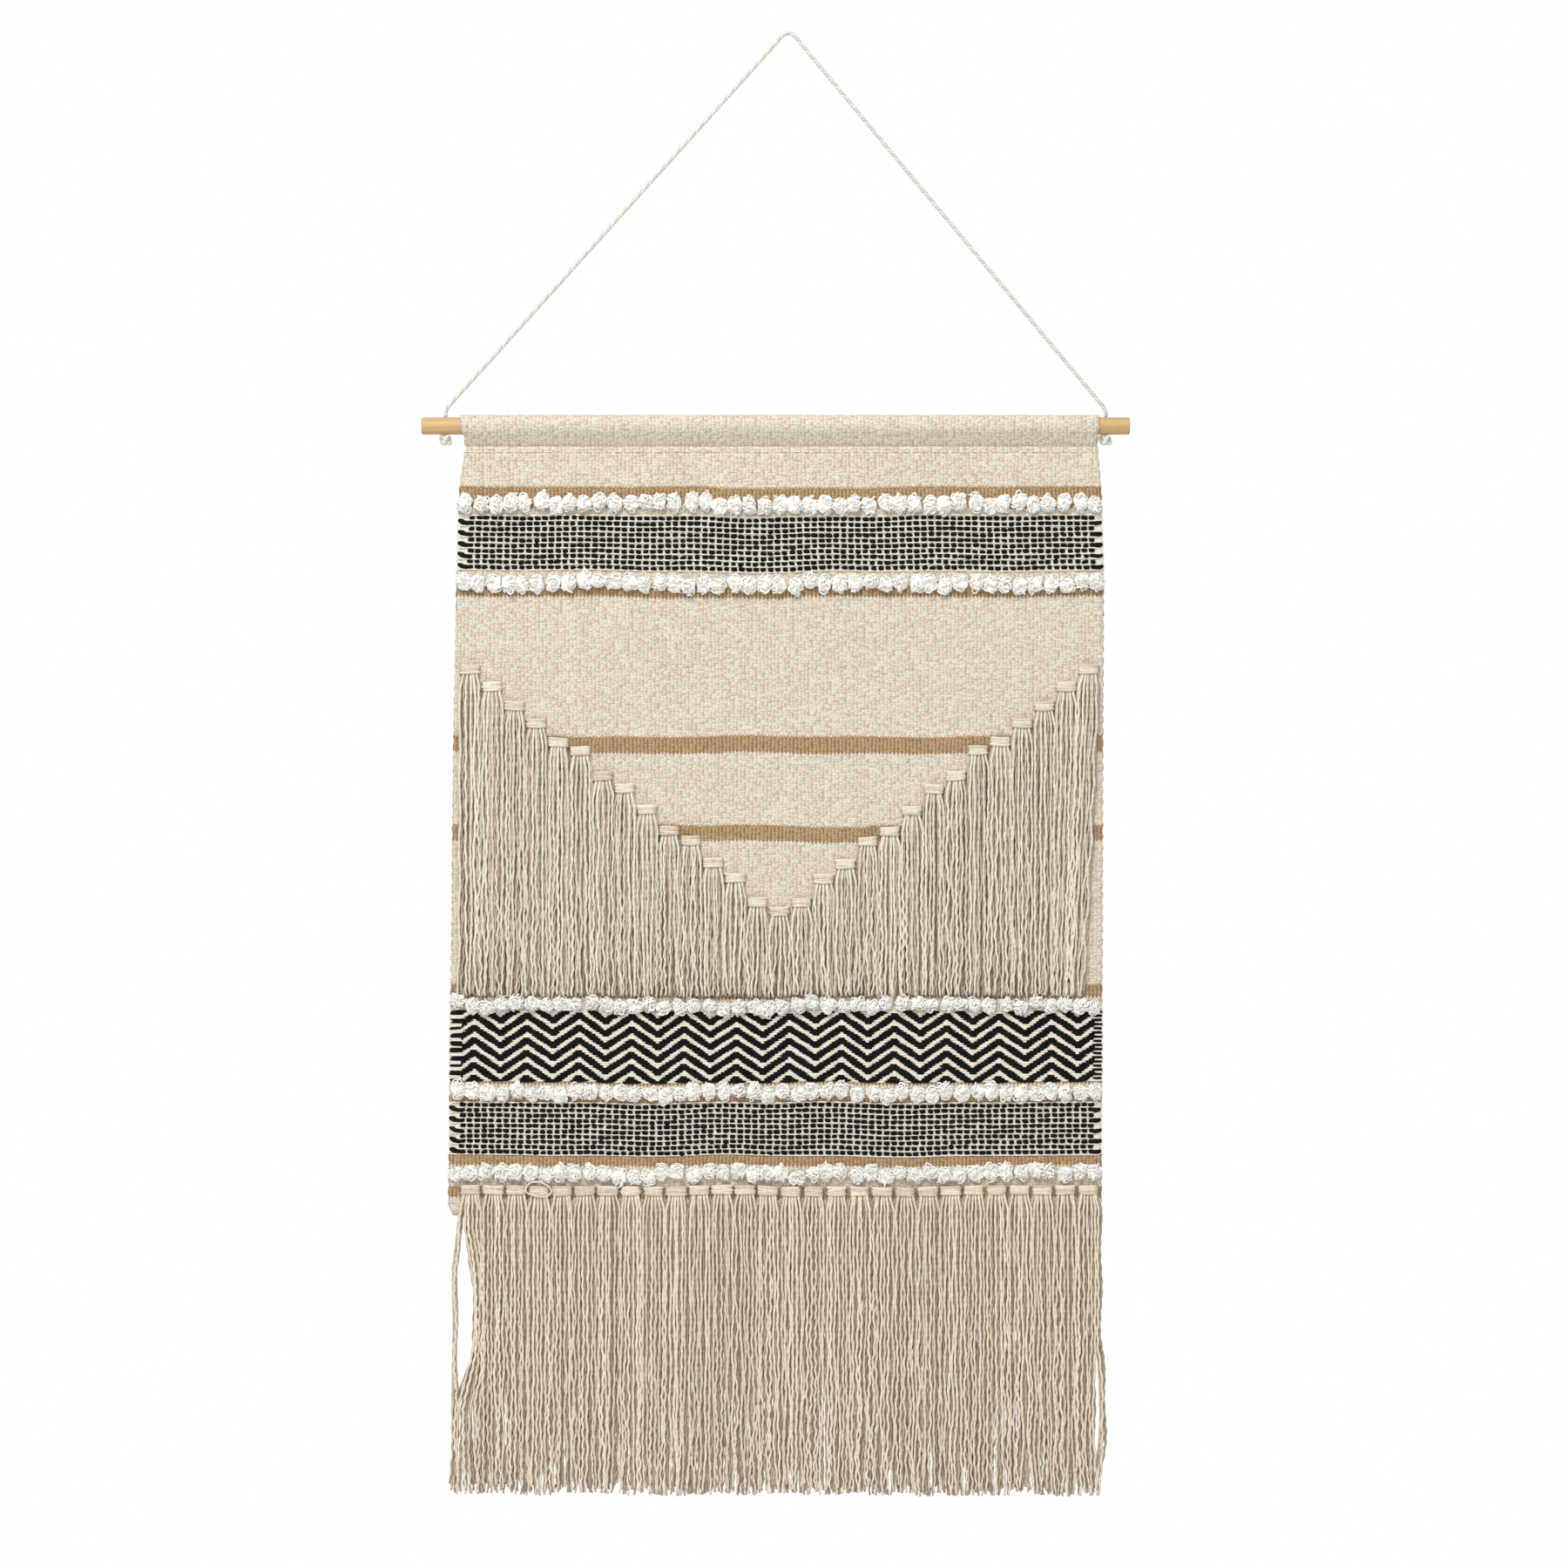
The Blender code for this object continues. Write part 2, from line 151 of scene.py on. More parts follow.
# The last row is worked a little above the middle of its bar.
ROW_DROPS[4] -= 0.0014
UPPER_DOTS = (ROW_DROPS[0] + 0.0087, ROW_DROPS[1] - 0.0096)
LOWER_DOTS = (ROW_DROPS[3] + 0.0076, ROW_DROPS[4] - 0.0131)
CHEVRONS = (ROW_DROPS[2] + 0.0044, ROW_DROPS[3] - 0.0077)
BROWN_STRIPES = (
    (ROW_DROPS[0] - 0.0126, ROW_DROPS[0] + 0.0030),
    (ROW_DROPS[1] + 0.0013, ROW_DROPS[1] + 0.0096),
    (ROW_DROPS[1] + 0.1118, ROW_DROPS[1] + 0.1242),
    (ROW_DROPS[1] + 0.1773, ROW_DROPS[1] + 0.1888),
    (ROW_DROPS[2] - 0.0154, ROW_DROPS[2] - 0.0058),
    (ROW_DROPS[3] - 0.0083, ROW_DROPS[3] - 0.0062),
    (ROW_DROPS[3] + 0.0025, ROW_DROPS[3] + 0.0090),
    (ROW_DROPS[4] - 0.0150, ROW_DROPS[4] - 0.0054),
    (ROW_DROPS[4] + 0.0106, ROW_DROPS[4] + 0.0189),
)


def linear(code):
    """Linear colour of an sRGB hex value such as E8DDCA."""
    parts = [int(code[i : i + 2], 16) / 255 for i in (0, 2, 4)]
    return tuple(c / 12.92 if c <= 0.04045 else ((c + 0.055) / 1.055) ** 2.4 for c in parts)


def colour_property(name, description, code):
    """A colour that a user can change, given as an sRGB hex value."""
    return bpy.props.FloatVectorProperty(
        name=name, description=description, default=linear(code), size=3, min=0, max=1, subtype="COLOR"
    )


def length_property(name, description, metres):
    """A length that a user can change."""
    return bpy.props.FloatProperty(
        name=name, description=description, default=metres, min=0, unit="LENGTH", precision=5
    )


class HangingSizes(bpy.types.PropertyGroup):
    """Yarn sizes and spacings that a maker would choose."""

    cloth: length_property("Cloth", "Thickness of the woven cloth", 0.0026)
    pocket_cloth: length_property("Pocket cloth", "Thickness of the cloth around the dowel", 0.0016)
    pocket_play: length_property("Pocket play", "Room between dowel and pocket", 0.0004)
    seam_drop: length_property("Seam depth", "Depth of the pocket's seam below the dowel", 0.0141)
    hem_turn: length_property("Seam allowance", "Cloth left behind below the seam", 0.0100)
    warp_pitch: length_property("Warp pitch", "Spacing of the warp threads", 0.00275)
    pick_pitch: length_property("Pick pitch", "Spacing of the ground weft", 0.0020)
    twill_pick: length_property("Twill pick", "Spacing of the weft in the chevrons", 0.00153)
    dot_pitch: length_property("Dot pitch", "Spacing of the black floats across", 0.00540)
    dot_row: length_property("Dot row", "Spacing of the black rows", 0.00403)
    loop_pitch: length_property("Loop pitch", "Spacing of the looped clusters", 0.01094)
    loop_yarn: length_property("Loop yarn", "Radius of the looped yarn", 0.00062)
    strand: length_property("Strand", "Radius of a tassel's strand", 0.00095)
    head_yarn: length_property("Head yarn", "Radius of the yarn around a tassel's head", 0.00115)
    cord_pitch: length_property("Cord lay", "Length of one turn of the cord's plies", 0.0085)


class HangingColours(bpy.types.PropertyGroup):
    """Colours of the yarns and of the wood."""

    cream: colour_property("Cream", "Ground weft", "EDE3D2")
    # Low cream: the weft's own darker tone, and painted shade in the hollows between beads and warps and in
    # the ply groove of the wraps.
    cream_dark_and_shade: colour_property("Cream, low", "Ground weft between its beads", "B9AC96")
    fleck: colour_property("Fleck", "Seed flecks in the undyed cotton", "93826C")
    bright_cream: colour_property("Bright cream", "Weft of the black bands", "EEEADC")
    brown: colour_property("Brown", "Brown weft", "BD9F79")
    # Low brown: the brown weft's own darker tone, and painted shade in the grooves of its ribs and between
    # its beads.
    brown_dark_and_shade: colour_property("Brown, low", "Brown weft between its beads", "8A6E4E")
    black: colour_property("Black", "Black weft", "080606")
    black_worn: colour_property("Black, worn", "Tips of the black weft", "12100F")
    white: colour_property("White", "Looped yarn", "FDFCF8")
    white_low: colour_property("White, low", "Looped yarn in its own shade", "F3F0E9")
    strand_light: colour_property("Strand, light", "Lightest strands", "EEE4D3")
    # Dark strand colour: the strands' own darker tone, and painted shade for the strands deep in a tassel.
    strand_dark_and_shade: colour_property("Strand, dark", "Darkest strands", "94836C")
    hem_light: colour_property("Hem, light", "Lightest hem strands", "EFE2CE")
    # Dark hem colour: the hem strands' own darker tone, and painted shade for the strands deep in a tassel.
    hem_dark_and_shade: colour_property("Hem, dark", "Darkest hem strands", "9A856B")
    wraps_dark: colour_property("Wraps, dark", "Darkest wraps of the hem's heads", "B3A086")
    cord: colour_property("Cord", "Hanging cord", "F0EDE6")
    cord_dark: colour_property("Cord, dark", "Darkest ply of the cord", "D3CDC3")
    wood: colour_property("Wood", "Dowel", "D6B687")
    wood_dark: colour_property("Wood, grain", "Late wood of the dowel", "C49F6D")
    stage: colour_property("Stage", "Floor", "FBFAF9")


# ---------------------------------------------------------------- shapes


def unit(vectors):
    """Each vector divided by its length."""
    return vectors / np.maximum(np.linalg.norm(vectors, axis=-1, keepdims=True), 1e-12)


def smooth_step(value):
    """Rises from 0 to 1 and is level at both ends: three squares less two cubes."""
    return value * value * (3 - 2 * value)


def run_along(line):
    """Distance of each point of a line from its first, measured along it."""
    return np.concatenate([[0.0], np.cumsum(np.linalg.norm(np.diff(line, axis=0), axis=1))])


def points_at(line, places):
    """Points of a line at the given distances along it."""
    run = run_along(line)
    return np.stack([np.interp(places, run, line[:, axis]) for axis in range(line.shape[1])], axis=1)


def edge_x(drop, side):
    """X of a selvedge: half the width less the amount drawn in, with small scallops, and
    rounded in by a square at the hem."""
    drawn_in = RIGHT_DRAWN_IN if side > 0 else LEFT_DRAWN_IN
    scallop = SCALLOP * np.sin(TURN * np.asarray(drop) / SCALLOP_PITCH + side)
    to_hem = (np.asarray(drop) - PANEL_DROP + CORNER_DEPTH) / CORNER_DEPTH
    corner = CORNER * np.clip(to_hem, 0, 1) ** 2
    return ROD_X + side * (HALF_WIDTH - np.interp(drop, EDGE_DROPS, drawn_in) + scallop - corner)


def waves(table, across, drop, start=0.0):
    """Sum of the sine waves of a table, added to a start."""
    each = (
        height * np.sin(TURN * (wide * across + deep * drop) + phase)
        for height, wide, deep, phase in table
    )
    return sum(each, start=start)


def hang(across, drop):
    """Sag of a row below its straight line, and how far the cloth stands off: slow sine waves
    that grow from nothing at the seam, the sag also from nothing at the selvedges."""
    free = np.clip((drop - 0.018) / 0.03, 0, 1)
    hold = np.sin(math.pi * np.clip(across, 0, 1))
    sag = free * hold * waves(SAG_WAVES, across, drop, MEAN_SAG)
    return sag, free * waves(BILLOW_WAVES, across, drop)


def on_cloth(across, drop, proud, back=0.0):
    """Point on the cloth: a share of the width across, a drop, and a height off its front, or
    off its back when the cloth's thickness is given."""
    sag, billow = hang(across, drop)
    left, right = edge_x(drop, -1), edge_x(drop, 1)
    x = left + (right - left) * across
    y = CLOTH_FRONT + (back + proud if back else -proud) + billow
    return np.stack(np.broadcast_arrays(x, y, ROD_Z - drop - sag), axis=-1)


def across_of(x, drop):
    """Share of the cloth's width at which a place x lies."""
    left, right = edge_x(drop, -1), edge_x(drop, 1)
    return (x - left) / (right - left)


def tubes(paths, radii, sides, reference=(0.0, 1.0, 0.0), closed=False, depth=1.0, tint=0.5, slot=0):
    """Tubes along many paths at once. Each path point gets a ring: the point plus the radius
    times the cosine along (tangent x reference) and the sine along the direction square to
    both, whose size is changed by depth."""
    paths = np.asarray(paths, float)
    count, steps = paths.shape[:2]
    radii = np.broadcast_to(radii, (count, steps))
    if closed:
        tangent = np.roll(paths, -1, 1) - np.roll(paths, 1, 1)
        run = np.linalg.norm(np.roll(paths, -1, 1) - paths, axis=2)
    else:
        tangent = np.gradient(paths, axis=1)
        run = np.linalg.norm(np.diff(paths, axis=1), axis=2)
    reach = np.concatenate([np.zeros((count, 1)), np.cumsum(run, axis=1)], axis=1)
    side = unit(np.cross(tangent, np.broadcast_to(reference, paths.shape)))
    up = unit(np.cross(side, tangent)) * depth
    angle = TURN * np.arange(sides) / sides
    ring = np.cos(angle)[:, None] * side[:, :, None] + np.sin(angle)[:, None] * up[:, :, None]
    points = (paths[:, :, None] + radii[:, :, None, None] * ring).reshape(-1, 3)
    index = np.arange(count * steps * sides).reshape(count, steps, sides)
    near = index if closed else index[:, :-1]
    far = np.roll(index, -1, 1) if closed else index[:, 1:]
    quads = np.stack([near, far, np.roll(far, -1, 2), np.roll(near, -1, 2)], axis=-1).reshape(-1, 4)
    first = np.broadcast_to((np.arange(sides) / sides)[None, None], near.shape)
    low = np.broadcast_to(reach[:, : near.shape[1], None], near.shape)
    high = np.broadcast_to(reach[:, 1 : near.shape[1] + 1, None], near.shape)
    u = np.stack([first, first, first + 1 / sides, first + 1 / sides], axis=-1)
    v = np.stack([low, high, high, low], axis=-1)
    faces, uvs = [quads], [np.stack([u, v], axis=-1).reshape(-1, 4, 2)]
    if not closed:
        caps = np.concatenate([index[:, 0], index[:, -1, ::-1]])
        faces.append(caps)
        uvs.append(np.zeros((*caps.shape, 2)))
    tints = np.broadcast_to(np.reshape(tint, (-1, 1, 1)), index.shape).ravel()
    return {"points": points, "faces": faces, "uvs": uvs, "tint": tints, "slot": slot}


def beads(centres, half_length, half_height, tilt, depth, detail=(6, 6), tint=0.5, slot=0):
    """Short floats of yarn lying across the cloth: a path along X, turned by tilt, whose
    radius is the square root of one less the cube of the place along it, with a small flat
    end. Detail is the number of sides and of rings."""
    sides, steps = detail
    flat_end = 0.12
    place = np.sin(np.linspace(-1, 1, steps) * math.pi / 2)
    profile = np.sqrt(np.maximum(1 - np.abs(place) ** 3, 0.0))
    profile = np.maximum(profile, flat_end)
    along = np.stack([np.cos(tilt), np.zeros_like(tilt), np.sin(tilt)], axis=-1)
    paths = centres[:, None] + (half_length[:, None] * place)[..., None] * along[:, None]
    return tubes(paths, half_height[:, None] * profile, sides, depth=depth, tint=tint, slot=slot)


def build(name, parts, materials, body=None, replaces=()):
    """One mesh object from parts, each of which holds points, faces, their UVs and a tint. It
    rides on a body, stands for the frame's nodes and has its finish in a slot."""
    points, tints, loops, starts, uvs, slots = [], [], [], [], [], []
    offset = corner = 0
    for part in parts:
        for faces, uv in zip(part["faces"], part["uvs"]):
            loops.append((faces + offset).ravel())
            starts.append(corner + np.arange(len(faces)) * faces.shape[1])
            uvs.append(uv.reshape(-1, 2))
            slots.append(np.full(len(faces), part["slot"]))
            corner += faces.size
        points.append(part["points"])
        tints.append(part["tint"])
        offset += len(part["points"])
    loops, starts = np.concatenate(loops), np.concatenate(starts)
    mesh = bpy.data.meshes.new(name)
    mesh.vertices.add(offset)
    mesh.vertices.foreach_set("co", np.concatenate(points).astype(np.float32).ravel())
    mesh.loops.add(len(loops))
    mesh.loops.foreach_set("vertex_index", loops.astype(np.int32))
    mesh.polygons.add(len(starts))
    mesh.polygons.foreach_set("loop_start", starts.astype(np.int32))
    mesh.polygons.foreach_set("material_index", np.concatenate(slots).astype(np.int32))
    mesh.polygons.foreach_set("use_smooth", np.ones(len(starts), bool))
    layer = mesh.uv_layers.new(name="thread")
    layer.data.foreach_set("uv", np.concatenate(uvs).astype(np.float32).ravel())
    tint = mesh.attributes.new("tint", "FLOAT", "POINT")
    tint.data.foreach_set("value", np.concatenate(tints).astype(np.float32))
    for look in materials:
        mesh.materials.append(look)
    mesh.update(calc_edges=True)
    mesh.validate()
    piece = bpy.data.objects.new(name, mesh)
    bpy.context.scene.collection.objects.link(piece)
    if body:
        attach(piece, body)
    if replaces:
        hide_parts(*replaces)
    return piece


def pocket_radius(sizes):
    """Radius of the middle of the cloth around the dowel."""
    return ROD_RADIUS + sizes.pocket_play + sizes.pocket_cloth / 2


def pocket_line(sizes):
    """The cloth's middle line (y, drop) from its lower edge up the front, around the dowel
    and down to the end of the seam allowance: straight runs, tangents and an arc."""
    middle = CLOTH_FRONT + sizes.cloth / 2
    radius = pocket_radius(sizes)
    foot = sizes.seam_drop + SEAM_HALF
    behind = middle + sizes.cloth / 2 + sizes.pocket_cloth / 2
    flat = np.stack([np.full(60, middle), np.linspace(PANEL_DROP, foot, 60)], axis=1)
    front_lean = math.atan2(-middle, foot) + math.acos(radius / math.hypot(middle, foot))
    back_lean = math.atan2(behind, foot) + math.acos(radius / math.hypot(behind, foot))
    angle = np.linspace(front_lean, TURN - back_lean, 80)
    arc = np.stack([-radius * np.sin(angle), radius * np.cos(angle)], axis=1)
    tail = np.stack([np.full(8, behind), np.linspace(foot, foot + sizes.hem_turn, 8)], axis=1)
    line = np.concatenate([flat, arc, tail])
    seam = PANEL_DROP - foot
    # Rows of faces are even along the cloth, with more of them around the seam.
    even = np.linspace(0, run_along(line)[-1], 226)
    at_seam = np.linspace(seam - 0.0052, seam + 0.0112, 30)
    places = np.sort(np.concatenate([even, at_seam]))
    smooth = points_at(line, places)
    smooth[1:-1] = (smooth[:-2] + 2 * smooth[1:-1] + smooth[2:]) / 4
    return places, smooth, seam


def cloth_shell(sizes):
    """The folded cloth as a closed shell: the middle line moved out and in by half the
    thickness along its normal, and carried from selvedge to selvedge."""
    reach, line, seam_reach = pocket_line(sizes)
    across = np.linspace(0, 1, 176)
    # The seam pinches the front layer: a narrow dent, a bell curve along the cloth.
    dent, dent_width = 0.0011, 0.0013
    line[:, 0] += dent * np.exp(-(((reach - seam_reach - SEAM_HALF) / dent_width) ** 2))
    tangent = unit(np.gradient(line * (1, -1), axis=0))
    normal = np.stack([-tangent[:, 1], tangent[:, 0]], axis=1)
    beyond = np.clip((reach - seam_reach) / 0.004, 0, 1)
    half = (sizes.cloth * (1 - beyond) + sizes.pocket_cloth * beyond) / 2
    drop = line[:, 1][:, None]
    sag, billow = hang(across[None], drop)
    left, right = edge_x(line[:, 1], -1)[:, None], edge_x(line[:, 1], 1)[:, None]
    x = left + (right - left) * across
    grids = []
    for sign in (1, -1):
        y = line[:, 0][:, None] + sign * (half * normal[:, 0])[:, None] + billow
        z = ROD_Z - drop + sign * (half * normal[:, 1])[:, None] - sag
        grids.append(np.stack(np.broadcast_arrays(x, y, z), axis=-1))
    rows, columns = len(line), len(across)
    outer = np.arange(rows * columns).reshape(rows, columns)
    inner = outer + rows * columns
    weave = np.stack(np.broadcast_arrays(x - ROD_X, (PANEL_DROP - reach)[:, None]), axis=-1).reshape(-1, 2)
    weave = np.concatenate([weave, weave])
    faces = [
        strip(outer[:-1, :-1], outer[:-1, 1:], outer[1:, 1:], outer[1:, :-1]),
        strip(inner[1:, :-1], inner[1:, 1:], inner[:-1, 1:], inner[:-1, :-1]),
        strip(outer[0, 1:], outer[0, :-1], inner[0, :-1], inner[0, 1:]),
        strip(outer[-1, :-1], outer[-1, 1:], inner[-1, 1:], inner[-1, :-1]),
        strip(outer[:-1, 0], outer[1:, 0], inner[1:, 0], inner[:-1, 0]),
        strip(outer[1:, -1], outer[:-1, -1], inner[:-1, -1], inner[1:, -1]),
    ]
    points = np.concatenate([grid.reshape(-1, 3) for grid in grids])
    return {
        "points": points,
        "faces": faces,
        "uvs": [weave[face] for face in faces],
        "tint": np.full(len(points), 0.5),
        "slot": 0,
    }


def strip(*corners):
    """Four-sided faces from arrays of their corners, in order."""
    return np.stack([corner.ravel() for corner in corners], axis=-1)


def black_float_rows(band, count, sizes, rng, back=0.0):
    """Dots of a black band: a grid of short floats, with thick turns at the selvedges."""
    drops = band[0] + (np.arange(count) + 0.5) * (band[1] - band[0]) / count
    width = edge_x(drops.mean(), 1) - edge_x(drops.mean(), -1)
    # The turns at the selvedges take up the first and last few millimetres. The dots are counted
    # on a field half a millimetre wider than the one that they are spread over.
    left_turn, both_turns, spare = 0.0072, 0.0125, 0.0005
    columns = int(round((width - both_turns + spare) / sizes.dot_pitch))
    shares = (left_turn + (np.arange(columns) + 0.5) * (width - both_turns) / columns) / width
    share, drop = np.meshgrid(shares, drops)
    share = share + rng.normal(0, 0.00016, share.shape) / width
    waver = 0.0003 * np.sin(TURN * share * 9 + drop * 400)
    drop = drop + rng.normal(0, 0.00010, drop.shape) + waver
    centres = on_cloth(share.ravel(), drop.ravel(), 0.0006, back)
    amount = len(centres)
    half_length = rng.normal(0.00226, 0.00018, amount).clip(0.0018, 0.0027)
    half_height = rng.normal(0.00158, 0.00012, amount).clip(0.0012, 0.0019)
    tilt = rng.normal(0, 0.11, amount)
    detail = (5, 4) if back else (6, 6)
    dots = beads(centres, half_length, half_height, tilt, 0.75, detail, tint=rng.random(amount))
    turn_rows = drops[1::2]
    turn_middle = 0.0042 / width
    turns = []
    # The turns rise towards their selvedge, those on the left more than those on the right.
    for where, raised, slant, reach in (
        (turn_middle, 0.0008, -0.36, 0.0044),
        (1 - turn_middle, 0.0, 0.16, 0.0036),
    ):
        middle = on_cloth(np.full(len(turn_rows), where), turn_rows - raised, 0.0004, back)
        size = len(middle)
        turns.append(
            beads(
                middle,
                rng.normal(reach, 0.0003, size),
                rng.normal(0.0019, 0.0001, size),
                rng.normal(slant, 0.06, size),
                0.7,
                tint=rng.random(size),
            )
        )
    return [dots] + turns


def ground_ridges(band, count, rng, back=0.0):
    """Bright weft between the rows of dots: long yarns that rise and fall with the warp."""
    drops = band[0] + np.arange(count + 1) * (band[1] - band[0]) / count
    share = np.linspace(0.004, 0.996, 177 if back else 265)
    share, drop = np.meshgrid(share, drops)
    rises = 44
    thread, most_wander = 0.00066, 0.0003
    lift = 0.00035 * np.sin(TURN * share * rises + math.pi * np.arange(len(drops))[:, None])
    wander = np.cumsum(rng.normal(0, 0.00003, drop.shape), axis=1)
    wander -= wander.mean(axis=1, keepdims=True)
    paths = on_cloth(share, drop + wander.clip(-most_wander, most_wander), 0.0003 + lift, back)
    radii = thread + 0.00010 * np.sin(TURN * share * rises + drop * 900)
    return tubes(paths, radii, 4 if back else 5, tint=rng.random(len(drops)), slot=1)


def twill_runs(mask):
    """Start and end of each run of true values along the rows of a table."""
    padded = np.pad(mask.astype(int), ((0, 0), (1, 1)))
    change = np.diff(padded, axis=1)
    rows, starts = np.nonzero(change == 1)
    ends = np.nonzero(change == -1)[1]
    return rows, starts, ends


def chevron_parts(band, sizes, rng, back=0.0):
    """Chevrons of seven warps a side. A place is black where the pick number less the climb
    from the nearest peak leaves, divided by six, a rest under about three and a half; on the
    back of the cloth it is the other way round. The turns at the selvedges are plain bars."""
    width = edge_x(band[0], 1) - edge_x(band[0], -1)
    # Each warp is looked at in this many places, so that a float can end between two warps.
    fine = 8
    warps = int(round(width / sizes.warp_pitch))
    picks = int(round((band[1] - band[0]) / sizes.twill_pick))
    place, pick = np.meshgrid((np.arange(warps * fine) + 0.5) / fine, np.arange(picks))
    from_peak = (place - FIRST_PEAK + HALF_CHEVRON) % (2 * HALF_CHEVRON) - HALF_CHEVRON
    climb = np.abs(from_peak) * CLIMB / HALF_CHEVRON
    black = (pick - climb) % TWILL < BLACK_PICKS
    # Bars of nearly two picks on the left, and of one pick on the right
    black = np.where(place < LEFT_BARS, (pick * 5) // 9 % 2 == 0, black)
    black = np.where(place > warps - RIGHT_BARS, pick % 2 == 0, black)
    if back:
        black = ~black
    parts = []
    for slot, mask in ((0, black), (1, ~black)):
        rows, starts, ends = twill_runs(mask)
        long_enough = ends - starts > fine // 3
        rows, starts, ends = rows[long_enough], starts[long_enough], ends[long_enough]
        share = (starts + ends) / 2 / (warps * fine)
        drop = band[0] + (rows + 0.5) * (band[1] - band[0]) / picks
        amount = len(rows)
        # Black lies above the bright weft.
        proud = 0.0004 if slot == 0 else 0.0
        centres = on_cloth(share, drop + rng.normal(0, 0.00008, amount), proud, back)
        half_length = (ends - starts) / fine * sizes.warp_pitch / 2 + 0.0004
        half_height = rng.normal(0.00112 - 0.00020 * slot, 0.00005, amount)
        tilt = rng.normal(0, 0.03, amount)
        detail = (4, 4) if back else (6, 5)
        tint = rng.random(amount)
        parts.append(beads(centres, half_length, half_height, tilt, 0.8, detail, tint, slot))
    return parts


def loop_cluster_parts(number, sizes, rng):
    """A looped row: in each cluster a soft core and twenty curled loops of thin yarn. A loop is
    a circle, its radius wavy, around a place on the front of the core, with a free axis."""
    low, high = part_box("loop_row_%d" % number)
    drop = ROW_DROPS[number - 1]
    half_height = (high.z - low.z) / 2
    width = edge_x(drop, 1) - edge_x(drop, -1)
    clusters = int(round((width - 0.003) / sizes.loop_pitch))
    share = (np.arange(clusters) + 0.5) / clusters + rng.normal(0, 0.0016, clusters)
    share = share.clip(0.010, 0.990)
    height = (0.55 * half_height + 0.0030) * rng.normal(1.0, 0.09, clusters).clip(0.78, 1.18)
    middle = on_cloth(share, drop + rng.normal(0, 0.0011, clusters), 0.0018)
    wide = rng.normal(0.0057, 0.0004, clusters)
    turn = rng.normal(0, 0.25, clusters)
    core = beads(middle, wide * 0.94, height * 0.78, turn, 0.50, (12, 9), rng.random(clusters))
    # Loops of a cluster, and points of a loop
    loops, turns = 20, 9
    azimuth = rng.uniform(0, TURN, (clusters, loops))
    rise = rng.uniform(0.05, 1.0, (clusters, loops))
    ring = np.sqrt(1 - rise**2)
    outward = np.stack([ring * np.cos(azimuth), -rise, ring * np.sin(azimuth)], axis=-1)
    reach = np.stack([wide * 0.78, np.full(clusters, 0.0029), height * 0.74], axis=-1)
    centre = middle[:, None] + outward * reach[:, None]
    axis = unit(rng.normal(0, 1, centre.shape) + 0.7 * outward)
    first = unit(np.cross(axis, rng.normal(0, 1, centre.shape)))
    second = np.cross(axis, first)
    size = rng.uniform(0.0014, 0.0027, (clusters, loops))
    angle = TURN * np.arange(turns) / turns
    bend = 1 + 0.2 * np.sin(2 * angle[None, None] + rng.uniform(0, TURN, size.shape)[..., None])
    wave = size[..., None] * bend
    path = centre[:, :, None] + wave[..., None] * (
        np.cos(angle)[:, None] * first[:, :, None] + np.sin(angle)[:, None] * second[:, :, None]
    )
    path[..., 1] = np.minimum(path[..., 1], CLOTH_FRONT - sizes.loop_yarn * 0.6)
    path = path.reshape(-1, turns, 3)
    reference = np.repeat(axis.reshape(-1, 1, 3), turns, axis=1)
    tint = rng.random(len(path))
    curls = tubes(path, sizes.loop_yarn, 4, reference=reference, closed=True, tint=tint)
    return [core, curls]


def head_parts(x, top, width, sizes, rng):
    """A tassel's head: four wraps of yarn across the strands. Each stands off the cloth by one
    less the sixth power of the place along it, so it is level in front and steep at its ends."""
    place = np.linspace(-1, 1, 11)
    drops = ROD_Z - top + 0.0009 + WRAP_PITCH * np.arange(WRAPS)
    half = width / 2 + rng.normal(0, 0.0003, WRAPS)
    share = across_of(x + half[:, None] * place, drops[:, None])
    proud = 0.0003 + HEAD_BOW * (1 - place**6)
    sway = 0.00025 * np.sin(place * 2 + rng.uniform(0, TURN, (WRAPS, 1)))
    paths = on_cloth(share, drops[:, None] + sway, proud)
    return tubes(paths, sizes.head_yarn, 8, depth=1.2, tint=rng.uniform(0.4, 1.0, WRAPS), slot=1)


class Fringe(typing.NamedTuple):
    """How the strands of one sort of tassel lie."""

    head: float  # width of the strands inside the head
    skirt: float  # width at the foot, as a share of the tassels' pitch
    deep: float  # how far the front layer stands off the cloth
    across: int  # strands in the middle layer
    past: float  # how far the longest ends hang below the tassel's solid
    ragged: float  # how much shorter the shortest are
    # Painted shade: the layers that show through the gaps get lower tints.
    painted_layer_shade: tuple  # the lowest tint of each layer


V_FRINGE = Fringe(0.0126, 1.04, 0.0056, 7, 0.0018, 0.0040, (0.02, 0.36, 0.70))
HEM_FRINGE = Fringe(0.0136, 1.05, 0.0060, 8, 0.0040, 0.0110, (0.42, 0.10, 0.66))


